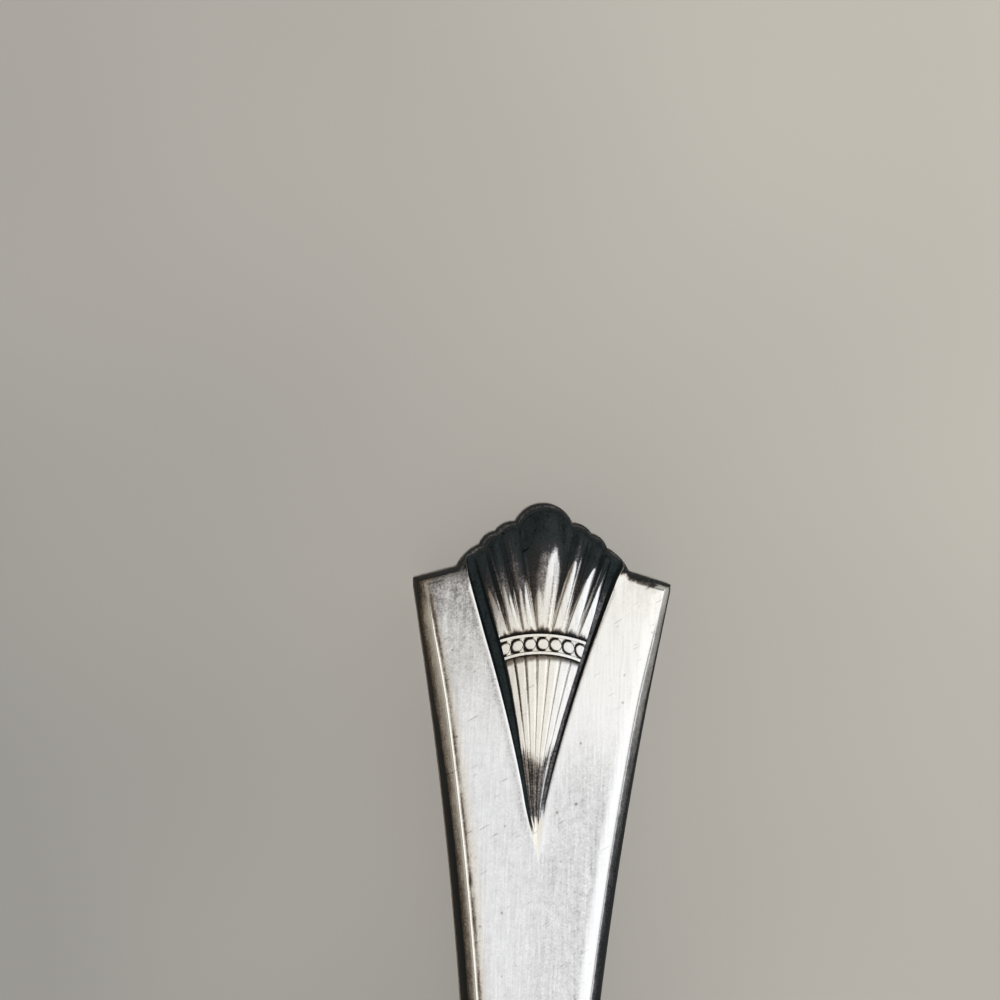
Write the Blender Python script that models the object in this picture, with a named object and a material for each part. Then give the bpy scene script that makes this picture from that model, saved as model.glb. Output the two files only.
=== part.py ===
"""A butter knife with a hollow handle, built piece by piece.

The handle is two struck half shells with a fluted fan at their end, soldered rim to rim. A ferrule
closes the handle's mouth, and cement inside the handle holds the tang of the forged blade.

Sizes are metres. The pieces share a local frame that starts where the shoulders are widest, on the
knife's middle plane: +Y runs up to the fan, -Y down to the blade, and +Z out of the front face.
"""

import math

import bmesh
import bpy
from mathutils import Vector

# Handle outline
HANDLE_LENGTH = 0.0860
HANDLE_THICKNESS = 0.0064
SHOULDER_WIDTH = 0.0190
SHOULDER_TIP_RISE = 0.00066
SHOULDER_FOOT_WIDTH = 0.0127
SHOULDER_FOOT_RISE = 0.00157
NECK_WIDTH = 0.0074
NECK_TO_MOUTH = 0.0188
MOUTH_WIDTH = 0.0084
MOUTH_THICKNESS = 0.0056
MOUTH_TAPER = 0.0080
EDGE_ROUND = 0.00105
EDGE_SWEEP_DEG = 70.0

# Lobed end of the fan: the cusps between lobes lie on one circle
FAN_RISE = 0.0064
CENTRE_LOBE_RISE = 0.0014
SIDE_LOBE_RISE = 0.00022
CUSP_CIRCLE_RADIUS = 0.0063
CUSP_ANGLES_DEG = (19.5, 34.6, 48.5)

# Sunk vee that holds the fan and the sheaf below it
VEE_LENGTH = 0.0193
VEE_WIDTH = 0.0102
VEE_FLARE = 0.15
RECESS_DEPTH = 0.0009
RECESS_RAMP = 0.0030
RECESS_STEP = 0.00008

# Fan, band and sheaf in the vee
FAN_INSET = 0.0005
FAN_FOOT_RISE = 0.0013
GROOVE_WIDTH = 0.00038
GROOVE_RUN = 0.0060
FLUTE_SHARES = (0.14, 0.48, 0.78, 1.0)
FLUTE_DEPTH = 0.00028
REED_DEPTH = 0.00012
CREST_BELOW_FACE = 0.00006
CROWN_DROP = 0.00050
END_ROLL = 0.00050
END_ROLL_SHARE = 0.25
TIP_DROP = 0.00035
SHEAF_TIP_ABOVE_APEX = 0.0027
BAND_BELOW_SHOULDER = 0.0032
BAND_HEIGHT = 0.0018
BAND_SAG = 0.0006
RAIL_WIDTH = 0.00034
RAIL_HEIGHT = 0.00005
BEAD_RADIUS = 0.00044

# Sheet, solder and clearances
SHELL_WALL = 0.0006
SOLDER_THICKNESS = 0.0002
FIT_GAP = 0.0003

# Ferrule, tang cement and blade
FERRULE_FLANGE = 0.0022
FERRULE_LIP = 0.00025
FERRULE_SPIGOT = 0.0030
CEMENT_PAST_TANG = 0.0030
TANG_LENGTH = 0.0380
TANG_WIDTH = 0.0036
TANG_TIP_WIDTH = 0.0026
TANG_THICKNESS = 0.0022
TANG_TIP_THICKNESS = 0.0014
TANG_NOTCHES = 3
TANG_NOTCH_DEPTH = 0.00045
TANG_NOTCH_LENGTH = 0.0024
TANG_NOTCH_PITCH = 0.0095
TANG_FIRST_NOTCH = 0.0066
BOLSTER_LENGTH = 0.0090
BOLSTER_COLLAR = 0.0024
BOLSTER_WAIST_WIDTH = 0.0060
BOLSTER_WAIST_THICKNESS = 0.0036
BLADE_LENGTH = 0.0680
BLADE_SPINE_REACH = 0.0062
BLADE_EDGE_REACH = 0.0092
BLADE_TIP_OFFSET = 0.0008
BLADE_SPINE_EASE = 0.0163
BLADE_EDGE_EASE = 0.0340
BLADE_SPINE_ROUND = 0.0122
BLADE_EDGE_ROUND = 0.0258
BLADE_THINNING = 0.0136
BLADE_SPINE_THICKNESS = 0.0016
BLADE_TIP_THICKNESS = 0.0010
BLADE_EDGE_THICKNESS = 0.0006

# Squareness of the forging's oval sections: 2 is an ellipse, and more is boxier
TANG_SQUARENESS = 5.0
COLLAR_SQUARENESS = 3.2
WAIST_SQUARENESS = 2.6
BLADE_SQUARENESS = 5.0
COLLAR_FOOT = 0.86

# Facets
SIDE_STEPS = 14
EDGE_STEPS = 4
LOBE_STEPS = 3
CENTRE_LOBE_STEPS = 8
FLUTE_COLUMNS = 4
RING_POINTS = 20
BLADE_STEPS = 18
TIP_BLUNTNESS = 0.4
CEMENT_STEPS = 6
CUT_OVERRUN = 0.0030
WELD = 0.000001

# Places worked out from the sizes
FACE_Z = HANDLE_THICKNESS / 2
RIM_Z = SOLDER_THICKNESS / 2
MOUTH_Y = FAN_RISE - HANDLE_LENGTH
NECK_Y = MOUTH_Y + NECK_TO_MOUTH
TAPER_Y = MOUTH_Y + MOUTH_TAPER
APEX_Y = -VEE_LENGTH
FERRULE_Y = MOUTH_Y - FERRULE_FLANGE
BLADE_ROOT_Y = FERRULE_Y - BOLSTER_LENGTH
TANG_END_Y = FERRULE_Y + TANG_LENGTH
OVERALL_LENGTH = HANDLE_LENGTH + FERRULE_FLANGE + BOLSTER_LENGTH + BLADE_LENGTH
MIDDLE_TO_SHOULDER = OVERALL_LENGTH / 2 - FAN_RISE
SHOULDER_FOOT = Vector((SHOULDER_FOOT_WIDTH / 2, SHOULDER_FOOT_RISE))


def clamp01(value):
    return min(1.0, max(0.0, value))


def smooth(value):
    """Eases from 0 to 1 with no slope at either end."""
    t = clamp01(value)
    return t * t * (3 - 2 * t)


def blend(start, end, share):
    return start + (end - start) * share


# Outline of the handle


def half_width(y):
    """Half the handle's width: a parabola from the shoulders to the neck, then an ease to the mouth."""
    if y >= NECK_Y:
        return NECK_WIDTH / 2 + (SHOULDER_WIDTH - NECK_WIDTH) / 2 * (1 - y / NECK_Y) ** 2
    return blend(NECK_WIDTH, MOUTH_WIDTH, smooth((NECK_Y - y) / NECK_TO_MOUTH)) / 2


def half_thickness(y):
    """Half the handle's thickness: level, then falling in a straight line to the mouth and past it."""
    fall = max(0.0, (TAPER_Y - y) / MOUTH_TAPER)
    return blend(HANDLE_THICKNESS, MOUTH_THICKNESS, fall) / 2


def edge_levels():
    """(height share, inset) up the rolled edge, an elliptical sweep that stops short at a crisp arris."""
    sweep = math.radians(EDGE_SWEEP_DEG)
    for step in range(EDGE_STEPS + 1):
        angle = sweep * step / EDGE_STEPS
        yield math.sin(angle) / math.sin(sweep), EDGE_ROUND * (1 - math.cos(angle)) / (1 - math.cos(sweep))


def arc(start, end, rise, steps):
    """Points on a circular arc from start up to but not at end, bulging to the right of the way along."""
    chord = end - start
    radius = (chord.length**2 / 4 + rise**2) / (2 * rise)
    half_angle = math.atan2(chord.length / 2, radius - rise)
    along = chord.normalized()
    outward = Vector((along.y, -along.x))
    centre = (start + end) / 2 - outward * (radius - rise)
    for step in range(steps):
        angle = half_angle * (2 * step / steps - 1)
        yield centre + radius * (math.sin(angle) * along + math.cos(angle) * outward)


def cusps(inset):
    """The fan's cusps on the right, from the centre lobe outwards, on a circle drawn in by inset."""
    first = math.radians(CUSP_ANGLES_DEG[0])
    centre_y = FAN_RISE - CENTRE_LOBE_RISE - CUSP_CIRCLE_RADIUS * math.cos(first)
    radius = CUSP_CIRCLE_RADIUS - inset
    for degrees in CUSP_ANGLES_DEG:
        angle = math.radians(degrees)
        yield Vector((radius * math.sin(angle), centre_y + radius * math.cos(angle)))


def mirrored(points):
    return [Vector((-p.x, p.y)) for p in reversed(points)]


def lobed_end(right_foot, inset, steps, centre_steps):
    """The lobes from the right foot over the top to the left foot, with every cusp among the points."""
    marks = [right_foot, *reversed(list(cusps(inset)))]
    right = []
    for start, end in zip(marks, marks[1:]):
        right += arc(start, end, SIDE_LOBE_RISE, steps)
    last = marks[-1]
    centre = list(arc(last, Vector((-last.x, last.y)), CENTRE_LOBE_RISE, centre_steps))
    return right + centre + mirrored(right + [last])


def handle_outline(end, overrun=0.0):
    """An outline open at the mouth: up the right side, over the end's points and down the left side."""
    side = [Vector((half_width(MOUTH_Y), MOUTH_Y - overrun))] if overrun else []
    for step in range(SIDE_STEPS):
        y = MOUTH_Y * (1 - step / SIDE_STEPS)
        side.append(Vector((half_width(y), y)))
    side.append(Vector((SHOULDER_WIDTH / 2, SHOULDER_TIP_RISE)))
    return side + end + mirrored(side)


def lobed_outline():
    """The outline that the shells show."""
    return handle_outline(lobed_end(SHOULDER_FOOT, 0.0, LOBE_STEPS, CENTRE_LOBE_STEPS))


def hollow_outline(inset, overrun=0.0):
    """The outline of the hollow inside, which runs straight from cusp to cusp, drawn in by inset."""
    right = [SHOULDER_FOOT, *reversed(list(cusps(0.0)))]
    return drawn_in(handle_outline(right + mirrored(right), overrun), inset)


def drawn_in(outline, inset):
    """The outline moved inwards by inset. Its two ends at the mouth slide sideways only."""
    moved = []
    for index, point in enumerate(outline):
        if index in (0, len(outline) - 1):
            moved.append(point - Vector((math.copysign(inset, point.x), 0)))
            continue
        before = (point - outline[index - 1]).normalized()
        after = (outline[index + 1] - point).normalized()
        normal = Vector((-(before.y + after.y), before.x + after.x)).normalized()
        lean = max(0.5, normal.dot(Vector((-after.y, after.x))))
        moved.append(point + normal * inset / lean)
    return moved


def vee_half(y):
    """Half the width of the sunk vee, flaring a little on the way up from its apex."""
    share = max(0.0, 1 - y / APEX_Y)
    return VEE_WIDTH / 2 * ((1 - VEE_FLARE) * share + VEE_FLARE * share**2)


def fan_half(y):
    """Half the width of the fan and sheaf, which leave a groove along the vee's walls."""
    return vee_half(y) - GROOVE_WIDTH * clamp01((y - APEX_Y) / GROOVE_RUN)


# Mesh tools


def object_from(name, work):
    """A mesh object from a bmesh, with its doubles welded and its faces pointing out."""
    bmesh.ops.remove_doubles(work, verts=work.verts, dist=WELD)
    bmesh.ops.recalc_face_normals(work, faces=work.faces)
    mesh = bpy.data.meshes.new(name)
    work.to_mesh(mesh)
    work.free()
    return bpy.data.objects.new(name, mesh)


def mapped_grid(columns, rows, place):
    """A grid whose point (column, row) is moved to place(column, row)."""
    work = bmesh.new()
    bmesh.ops.create_grid(work, x_segments=columns, y_segments=rows, size=0.5)
    for vert in work.verts:
        vert.co = place(round((vert.co.x + 0.5) * columns), round((vert.co.y + 0.5) * rows))
    return work


def formed_block(name, columns, rows, place, cap_z):
    """A closed block between a formed surface and a flat face at cap_z."""
    work = mapped_grid(columns, rows, place)
    bmesh.ops.remove_doubles(work, verts=work.verts, dist=WELD)
    rim = [edge for edge in work.edges if edge.is_boundary]
    walls = bmesh.ops.extrude_edge_only(work, edges=rim)["geom"]
    for vert in walls:
        if isinstance(vert, bmesh.types.BMVert):
            vert.co.z = cap_z
    bmesh.ops.holes_fill(work, edges=[edge for edge in work.edges if edge.is_boundary])
    return object_from(name, work)


def formed_bar(name, rings):
    """A closed bar through a list of rings, each a list of points in the same order."""
    around = len(rings[0])
    work = mapped_grid(around, len(rings) - 1, lambda column, row: rings[row][column % around])
    bmesh.ops.remove_doubles(work, verts=work.verts, dist=WELD)
    bmesh.ops.holes_fill(work, edges=[edge for edge in work.edges if edge.is_boundary])
    return object_from(name, work)


def stacked_block(name, levels):
    """A closed block through level outlines, each given with its height as (z, outline)."""
    return formed_bar(name, [[Vector((p.x, p.y, z)) for p in outline] for z, outline in levels])


def fall_to_mouth(block):
    """Lowers a half of the handle towards the mouth, above the rim, with an edge where the fall starts."""
    work = bmesh.new()
    work.from_mesh(block.data)
    everything = [*work.verts, *work.edges, *work.faces]
    bmesh.ops.bisect_plane(work, geom=everything, plane_co=(0, TAPER_Y, 0), plane_no=(0, 1, 0))
    for vert in work.verts:
        if vert.co.z > RIM_Z:
            share = (half_thickness(vert.co.y) - RIM_Z) / (FACE_Z - RIM_Z)
            vert.co.z = RIM_Z + (vert.co.z - RIM_Z) * share
    work.to_mesh(block.data)
    work.free()
    return block


def combine(block, operation, other):
    """Adds a Boolean with another object to a block."""
    modifier = block.modifiers.new(operation.lower(), "BOOLEAN")
    modifier.operation = operation
    modifier.object = other
    return block


def as_cutter(obj):
    """Keeps a helper out of the finished knife."""
    obj.hide_render = True
    obj.display_type = "WIRE"
    CUTTERS.objects.link(obj)
    return obj


def finished_mesh(obj, name):
    """The mesh of an object after its modifiers."""
    graph = bpy.context.evaluated_depsgraph_get()
    mesh = bpy.data.meshes.new_from_object(obj.evaluated_get(graph))
    mesh.name = name
    return mesh


def make_material(name, colour, metallic, roughness):
    material = bpy.data.materials.new(name)
    material.use_nodes = True
    shader = material.node_tree.nodes["Principled BSDF"]
    shader.inputs["Base Color"].default_value = (*colour, 1.0)
    shader.inputs["Metallic"].default_value = metallic
    shader.inputs["Roughness"].default_value = roughness
    return material


def place_piece(obj, material, parent, smooth_deg=35.0):
    """Puts a finished piece in the knife, shaded smooth apart from its sharp edges."""
    obj.data.materials.clear()
    obj.data.materials.append(material)
    obj.data.shade_smooth()
    obj.data.set_sharp_from_angle(angle=math.radians(smooth_deg))
    obj.parent = parent
    KNIFE.objects.link(obj)
    return obj


# Half shell of the handle


def shell_blank():
    """Half of the handle as a solid, from the rim to the face, with a rolled edge all round."""
    outline = lobed_outline()
    levels = []
    for height, inset in edge_levels():
        levels.append((blend(RIM_Z, FACE_Z, height), drawn_in(outline, inset)))
    return fall_to_mouth(stacked_block("shell_blank", levels))


def shell_cavity():
    """The hollow of a half shell, one wall inside the blank and open at the rim and the mouth."""
    levels = [(RIM_Z - CUT_OVERRUN, hollow_outline(SHELL_WALL, CUT_OVERRUN))]
    for height, inset in edge_levels():
        z = blend(RIM_Z, FACE_Z - SHELL_WALL, height)
        levels.append((z, hollow_outline(inset + SHELL_WALL, CUT_OVERRUN)))
    return fall_to_mouth(stacked_block("shell_cavity", levels))


def recess_block(name, grow, sink):
    """A wedge over the sunk vee: its floor ramps down from the apex, and it runs past the fan's end."""
    rows = SIDE_STEPS
    top_y = FAN_RISE + CUT_OVERRUN

    def place(column, row):
        y = blend(APEX_Y - grow, top_y, row / rows)
        depth = blend(RECESS_STEP, RECESS_DEPTH, clamp01((y - APEX_Y) / RECESS_RAMP)) + sink
        return ((column - 1) * (vee_half(y) + grow), y, FACE_Z - depth)

    return formed_block(name, 2, rows, place, FACE_Z + CUT_OVERRUN)


def flute_marks(shares):
    """The shares at which flutes meet, from the right edge of the fan to its left edge."""
    right = [Vector((share, 0)) for share in reversed(shares)]
    return [p.x for p in right + mirrored(right)]


def across(marks):
    """Positions across the fan, with each flute split into even columns."""
    spread = []
    for start, end in zip(marks, marks[1:]):
        spread += [blend(start, end, column / FLUTE_COLUMNS) for column in range(FLUTE_COLUMNS)]
    return spread + [marks[-1]]


def band_y(share, depth):
    """Height of a line round the band, depth below its upper edge, bowed down at the fan's sides."""
    return -BAND_BELOW_SHOULDER - depth - BAND_SAG * share**2


def crown(share):
    """How far the fan's rounded back falls below its crest, across the fan."""
    return CREST_BELOW_FACE + CROWN_DROP * abs(share) ** 3


def fan_block():
    """Fan, band and sheaf: seven flutes that fan out to the lobes above the band and close to a tip below."""
    shares = across(flute_marks(FLUTE_SHARES))
    foot = Vector((fan_half(FAN_FOOT_RISE), FAN_FOOT_RISE))
    ends = lobed_end(foot, FAN_INSET, FLUTE_COLUMNS, FLUTE_COLUMNS)
    tip_y = APEX_Y + SHEAF_TIP_ABOVE_APEX
    rail_rows = [0.0, RAIL_WIDTH / 2, RAIL_WIDTH]
    band_rows = [BAND_HEIGHT - depth for depth in rail_rows] + list(reversed(rail_rows))
    lower_rows = SIDE_STEPS // 2
    upper_rows = SIDE_STEPS // 2

    def ridge(column):
        local = 2 * (column % FLUTE_COLUMNS) / FLUTE_COLUMNS - 1
        return 1 - local**2

    def place(column, row):
        share = shares[column]
        drop = crown(share)
        if row < lower_rows:
            y = blend(tip_y, band_y(share, BAND_HEIGHT), row / lower_rows)
            x = share * fan_half(y)
            depth = drop + REED_DEPTH * (1 - ridge(column)) + TIP_DROP * (1 - row / lower_rows) ** 2
        elif row < lower_rows + len(band_rows):
            below = band_rows[row - lower_rows]
            y = band_y(share, below)
            x = share * fan_half(y)
            on_rail = below in (rail_rows[1], BAND_HEIGHT - rail_rows[1])
            depth = drop + RAIL_HEIGHT * (0 if on_rail else 2)
        else:
            up = (row - lower_rows - len(band_rows) + 1) / upper_rows
            start_y = band_y(share, 0)
            x = blend(share * fan_half(start_y), ends[column].x, up)
            y = blend(start_y, ends[column].y, up)
            roll = clamp01((up - 1 + END_ROLL_SHARE) / END_ROLL_SHARE) ** 2
            depth = drop + blend(REED_DEPTH, FLUTE_DEPTH, up) * (1 - ridge(column)) + END_ROLL * roll
        return (x, y, FACE_Z - min(depth, RECESS_DEPTH))

    rows = lower_rows + len(band_rows) + upper_rows - 1
    return formed_block("fan", len(shares) - 1, rows, place, FACE_Z - RECESS_DEPTH - SHELL_WALL / 2)


def bead_row():
    """The beads round the band, one to a flute, joined as one cutter mesh."""
    marks = flute_marks(FLUTE_SHARES)
    work = bmesh.new()
    for start, end in zip(marks, marks[1:]):
        share = (start + end) / 2
        y = band_y(share, BAND_HEIGHT / 2)
        made = bmesh.ops.create_uvsphere(work, u_segments=8, v_segments=6, radius=BEAD_RADIUS)
        sink = crown(share) + BEAD_RADIUS - RAIL_HEIGHT
        bmesh.ops.translate(work, verts=made["verts"], vec=(share * fan_half(y), y, FACE_Z - sink))
    return object_from("beads", work)


def half_shell_mesh():
    """One struck half of the handle, used for the front and, turned over, for the back."""
    blank = as_cutter(shell_blank())
    cavity = as_cutter(shell_cavity())
    combine(cavity, "DIFFERENCE", as_cutter(recess_block("recess_backing", SHELL_WALL, SHELL_WALL)))
    combine(blank, "DIFFERENCE", cavity)
    combine(blank, "DIFFERENCE", as_cutter(recess_block("recess", 0.0, 0.0)))
    combine(blank, "UNION", as_cutter(fan_block()))
    combine(blank, "UNION", as_cutter(bead_row()))
    bpy.context.view_layer.update()
    return finished_mesh(blank, "half_shell")


def seam_solder():
    """The line of solder between the rims of the two shells, open at the mouth."""
    strip = lobed_outline() + list(reversed(hollow_outline(SHELL_WALL)))
    return stacked_block("seam_solder", [(-RIM_Z, strip), (RIM_Z, strip)])


# Pieces at and in the mouth


def handle_section(y, inset, shift=0.0):
    """The handle's cross-section at y, drawn in by inset, as a ring of points moved along Y by shift."""
    quarter = []
    for height, roll in edge_levels():
        quarter.append((half_width(y) - inset - roll, (half_thickness(y) - inset) * height))
    right = [(x, -z) for x, z in reversed(quarter[1:])] + quarter
    left = [(-x, -z) for x, z in right]
    return [Vector((x, y + shift, z)) for x, z in right + left]


def oval(y, middle_x, half_x, edge_half_z, spine_half_z, squareness):
    """A superellipse ring round +Y whose thickness runs from the edge side, -X, to the spine side, +X."""
    ring = []
    for index in range(RING_POINTS):
        angle = 2 * math.pi * index / RING_POINTS
        cosine, sine = math.cos(angle), math.sin(angle)
        x = math.copysign(abs(cosine) ** (2 / squareness), cosine)
        z = math.copysign(abs(sine) ** (2 / squareness), sine)
        ring.append(Vector((middle_x + half_x * x, y, z * blend(edge_half_z, spine_half_z, (x + 1) / 2))))
    return ring


def tang_stations():
    """(y, half width, half thickness) along the tang from its end to the bolster, with its notches."""
    stations = [(0.0, 0.0)]
    for notch in range(TANG_NOTCHES):
        middle = TANG_FIRST_NOTCH + TANG_NOTCH_PITCH * notch
        for step, depth in enumerate((0.0, TANG_NOTCH_DEPTH, TANG_NOTCH_DEPTH, 0.0)):
            stations.append((middle + TANG_NOTCH_LENGTH * (step / 3 - 0.5), depth))
    stations.append((TANG_LENGTH, 0.0))
    for from_end, depth in stations:
        share = from_end / TANG_LENGTH
        half_x = blend(TANG_TIP_WIDTH, TANG_WIDTH, share) / 2 - depth
        half_z = blend(TANG_TIP_THICKNESS, TANG_THICKNESS, share) / 2
        yield TANG_END_Y - from_end, half_x, half_z


def tang_socket():
    """The hole that the tang leaves in the cement and the ferrule: its straight taper and a fit gap."""
    rings = []
    for share, past in ((0.0, FIT_GAP), (1.0, -CUT_OVERRUN)):
        half_x = blend(TANG_TIP_WIDTH, TANG_WIDTH, share) / 2 + FIT_GAP
        half_z = blend(TANG_TIP_THICKNESS, TANG_THICKNESS, share) / 2 + FIT_GAP
        y = TANG_END_Y - TANG_LENGTH * share + past
        rings.append(oval(y, 0, half_x, half_z, half_z, TANG_SQUARENESS))
    return formed_bar("tang_socket", rings)


def ferrule(socket):
    """The collar on the mouth: a rounded flange outside, a spigot inside the shells, a slot for the tang."""
    rings = []
    for share, proud in ((0.0, 0.0), (0.08, 0.7), (0.3, 1.0), (0.7, 1.0), (0.92, 0.7), (1.0, 0.0)):
        rings.append(handle_section(MOUTH_Y, -FERRULE_LIP * proud, -FERRULE_FLANGE * (1 - share)))
    for reach in (0.0, FERRULE_SPIGOT):
        rings.append(handle_section(MOUTH_Y, SHELL_WALL + FIT_GAP, reach))
    return combine(formed_bar("mouth_ferrule", rings), "DIFFERENCE", socket)


def tang_cement(socket):
    """The cement that fills the handle's throat from the ferrule to just past the tang's end."""
    bottom_y = MOUTH_Y + FERRULE_SPIGOT + FIT_GAP
    top_y = TANG_END_Y + CEMENT_PAST_TANG
    rings = []
    for step in range(CEMENT_STEPS + 1):
        rings.append(handle_section(blend(bottom_y, top_y, step / CEMENT_STEPS), SHELL_WALL + FIT_GAP))
    return combine(formed_bar("tang_cement", rings), "DIFFERENCE", socket)


# Blade, bolster and tang in one forging


def end_round(to_tip, length):
    """The quarter ellipse that rounds a side of the blade off, from 1 where it starts to 0 at the tip."""
    return math.sqrt(1 - clamp01(1 - to_tip / length) ** 2)


def blade_ring(down):
    """The ring at a distance down the blade: both sides ease out from the bolster and round to the tip."""
    to_tip = BLADE_LENGTH - down
    waist = BOLSTER_WAIST_WIDTH / 2
    spine = blend(waist, BLADE_SPINE_REACH, smooth(down / BLADE_SPINE_EASE))
    edge = -blend(waist, BLADE_EDGE_REACH, smooth(down / BLADE_EDGE_EASE))
    spine = blend(BLADE_TIP_OFFSET, spine, end_round(to_tip, BLADE_SPINE_ROUND))
    edge = blend(BLADE_TIP_OFFSET, edge, end_round(to_tip, BLADE_EDGE_ROUND))
    thinned = smooth(down / BLADE_THINNING)
    spine_z = blend(BLADE_SPINE_THICKNESS, BLADE_TIP_THICKNESS, down / BLADE_LENGTH) / 2
    return oval(
        BLADE_ROOT_Y - down,
        (spine + edge) / 2,
        (spine - edge) / 2,
        blend(BOLSTER_WAIST_THICKNESS / 2, BLADE_EDGE_THICKNESS / 2, thinned),
        blend(BOLSTER_WAIST_THICKNESS / 2, spine_z, thinned),
        blend(WAIST_SQUARENESS, BLADE_SQUARENESS, thinned),
    )


def blade_rings():
    """Rings down the blade, closer together round the tip, then a short blunt end."""
    for step in range(1, BLADE_STEPS + 1):
        ring = blade_ring(BLADE_LENGTH * math.sin(math.pi / 2 * step / (BLADE_STEPS + TIP_BLUNTNESS)))
        yield ring
    tip_y = BLADE_ROOT_Y - BLADE_LENGTH
    yield [Vector((blend(BLADE_TIP_OFFSET, p.x, 0.5), tip_y, p.z / 2)) for p in ring]


def bolster_rings():
    """Rings down the bolster: a rounded collar against the ferrule, then a waist that meets the blade."""
    collar_x = MOUTH_WIDTH / 2
    collar_z = MOUTH_THICKNESS / 2
    waist_x = BOLSTER_WAIST_WIDTH / 2
    waist_z = BOLSTER_WAIST_THICKNESS / 2
    for share, size in ((0.0, COLLAR_FOOT), (0.2, 0.97), (0.5, 1.0), (0.8, 0.97), (1.0, COLLAR_FOOT)):
        y = FERRULE_Y - BOLSTER_COLLAR * share
        yield oval(y, 0, collar_x * size, collar_z * size, collar_z * size, COLLAR_SQUARENESS)
    for share in (0.25, 0.5, 0.75, 1.0):
        y = blend(FERRULE_Y - BOLSTER_COLLAR, BLADE_ROOT_Y, share)
        ease = smooth(share)
        half_x = blend(collar_x * COLLAR_FOOT, waist_x, ease)
        half_z = blend(collar_z * COLLAR_FOOT, waist_z, ease)
        yield oval(y, 0, half_x, half_z, half_z, blend(COLLAR_SQUARENESS, WAIST_SQUARENESS, share))


def blade():
    """The forging: a notched tang in the handle, the bolster and the blade."""
    tang = [oval(y, 0, half_x, half_z, half_z, TANG_SQUARENESS) for y, half_x, half_z in tang_stations()]
    return formed_bar("blade", [*tang, *bolster_rings(), *blade_rings()])


# Assembly

for old in list(bpy.data.objects):
    bpy.data.objects.remove(old)

KNIFE = bpy.data.collections.new("butter_knife")
CUTTERS = bpy.data.collections.new("cutters")
for collection in (KNIFE, CUTTERS):
    bpy.context.scene.collection.children.link(collection)

SILVER_PLATE = make_material("silver_plate", (0.80, 0.78, 0.75), 1.0, 0.28)
SOLDER = make_material("silver_solder", (0.62, 0.60, 0.57), 1.0, 0.42)
STAINLESS = make_material("stainless_blade", (0.66, 0.66, 0.66), 1.0, 0.22)
CEMENT = make_material("tang_cement", (0.30, 0.22, 0.16), 0.0, 0.85)

middle_plane = bpy.data.objects.new("middle_plane", None)
middle_plane.location = (0, MIDDLE_TO_SHOULDER, FACE_Z)
KNIFE.objects.link(middle_plane)

half_shell = half_shell_mesh()
front_shell = bpy.data.objects.new("handle_front_shell", half_shell)
place_piece(front_shell, SILVER_PLATE, middle_plane)
back_shell = bpy.data.objects.new("handle_back_shell", half_shell)
back_shell.rotation_euler.y = math.pi
place_piece(back_shell, SILVER_PLATE, middle_plane)
place_piece(seam_solder(), SOLDER, middle_plane)

socket_cutter = as_cutter(tang_socket())
socket_cutter.parent = middle_plane
place_piece(ferrule(socket_cutter), SILVER_PLATE, middle_plane)
place_piece(tang_cement(socket_cutter), CEMENT, middle_plane)
place_piece(blade(), STAINLESS, middle_plane)
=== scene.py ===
"""Looks of a hollow-handled butter knife in worn silver plate.

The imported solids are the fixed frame. Each visible piece is a finer surface, worked out on a grid from the
same sizes, that stands for its solid: two struck half shells with a fluted fan at their end, the solder line
between their rims, the collar on the handle's mouth and the forged blade. The cement keeps its own solid.

Sizes are millimetres in the knife's own frame, which starts where the shoulders are widest, on the middle
plane: +Y runs up to the fan, -Y down to the blade and +Z out of the front face.
"""

import logging
import math
from dataclasses import dataclass, field
from enum import Enum, IntEnum
from typing import NamedTuple

import bpy
import numpy as np
from mathutils import Matrix, Vector


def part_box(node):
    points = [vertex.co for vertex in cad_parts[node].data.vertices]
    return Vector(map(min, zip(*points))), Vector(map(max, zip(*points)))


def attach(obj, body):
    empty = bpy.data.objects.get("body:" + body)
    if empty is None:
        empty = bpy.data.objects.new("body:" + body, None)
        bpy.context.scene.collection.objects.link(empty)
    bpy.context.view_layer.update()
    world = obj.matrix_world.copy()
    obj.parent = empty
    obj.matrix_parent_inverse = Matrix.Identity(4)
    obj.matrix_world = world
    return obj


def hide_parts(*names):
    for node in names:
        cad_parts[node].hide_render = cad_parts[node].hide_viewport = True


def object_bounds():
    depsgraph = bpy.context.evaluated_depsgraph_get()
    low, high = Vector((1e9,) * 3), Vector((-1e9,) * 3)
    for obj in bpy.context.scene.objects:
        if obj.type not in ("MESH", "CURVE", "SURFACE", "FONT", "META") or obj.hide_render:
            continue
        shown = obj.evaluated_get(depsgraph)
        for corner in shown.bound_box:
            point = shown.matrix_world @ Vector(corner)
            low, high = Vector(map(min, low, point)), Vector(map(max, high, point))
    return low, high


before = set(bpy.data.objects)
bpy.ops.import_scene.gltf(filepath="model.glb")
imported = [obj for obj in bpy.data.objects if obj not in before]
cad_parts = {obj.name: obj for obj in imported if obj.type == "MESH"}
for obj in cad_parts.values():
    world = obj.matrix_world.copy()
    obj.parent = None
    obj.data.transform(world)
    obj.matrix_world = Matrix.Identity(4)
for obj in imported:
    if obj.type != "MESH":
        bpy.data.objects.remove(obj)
CAD_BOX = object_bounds()

LOG = logging.getLogger("butter_knife")
MM = 0.001
BODY = "root"
Array = np.ndarray
Pair = tuple[float, float]
Triple = tuple[float, float, float]


class Face(Enum):
    """The two sides of the knife, each with the sign of its direction along Z."""

    FRONT = 1
    BACK = -1


class Row(IntEnum):
    """Lines across the handle that the grid's rows pass, from the mouth to the rim round the fan."""

    MOUTH = 0
    TAPER = 1
    APEX = 2
    SHEAF_TIP = 3
    BAND_FOOT = 4
    BAND_TOP = 5
    PETAL_END = 6
    LEDGE = 7
    RIM = 8


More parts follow.
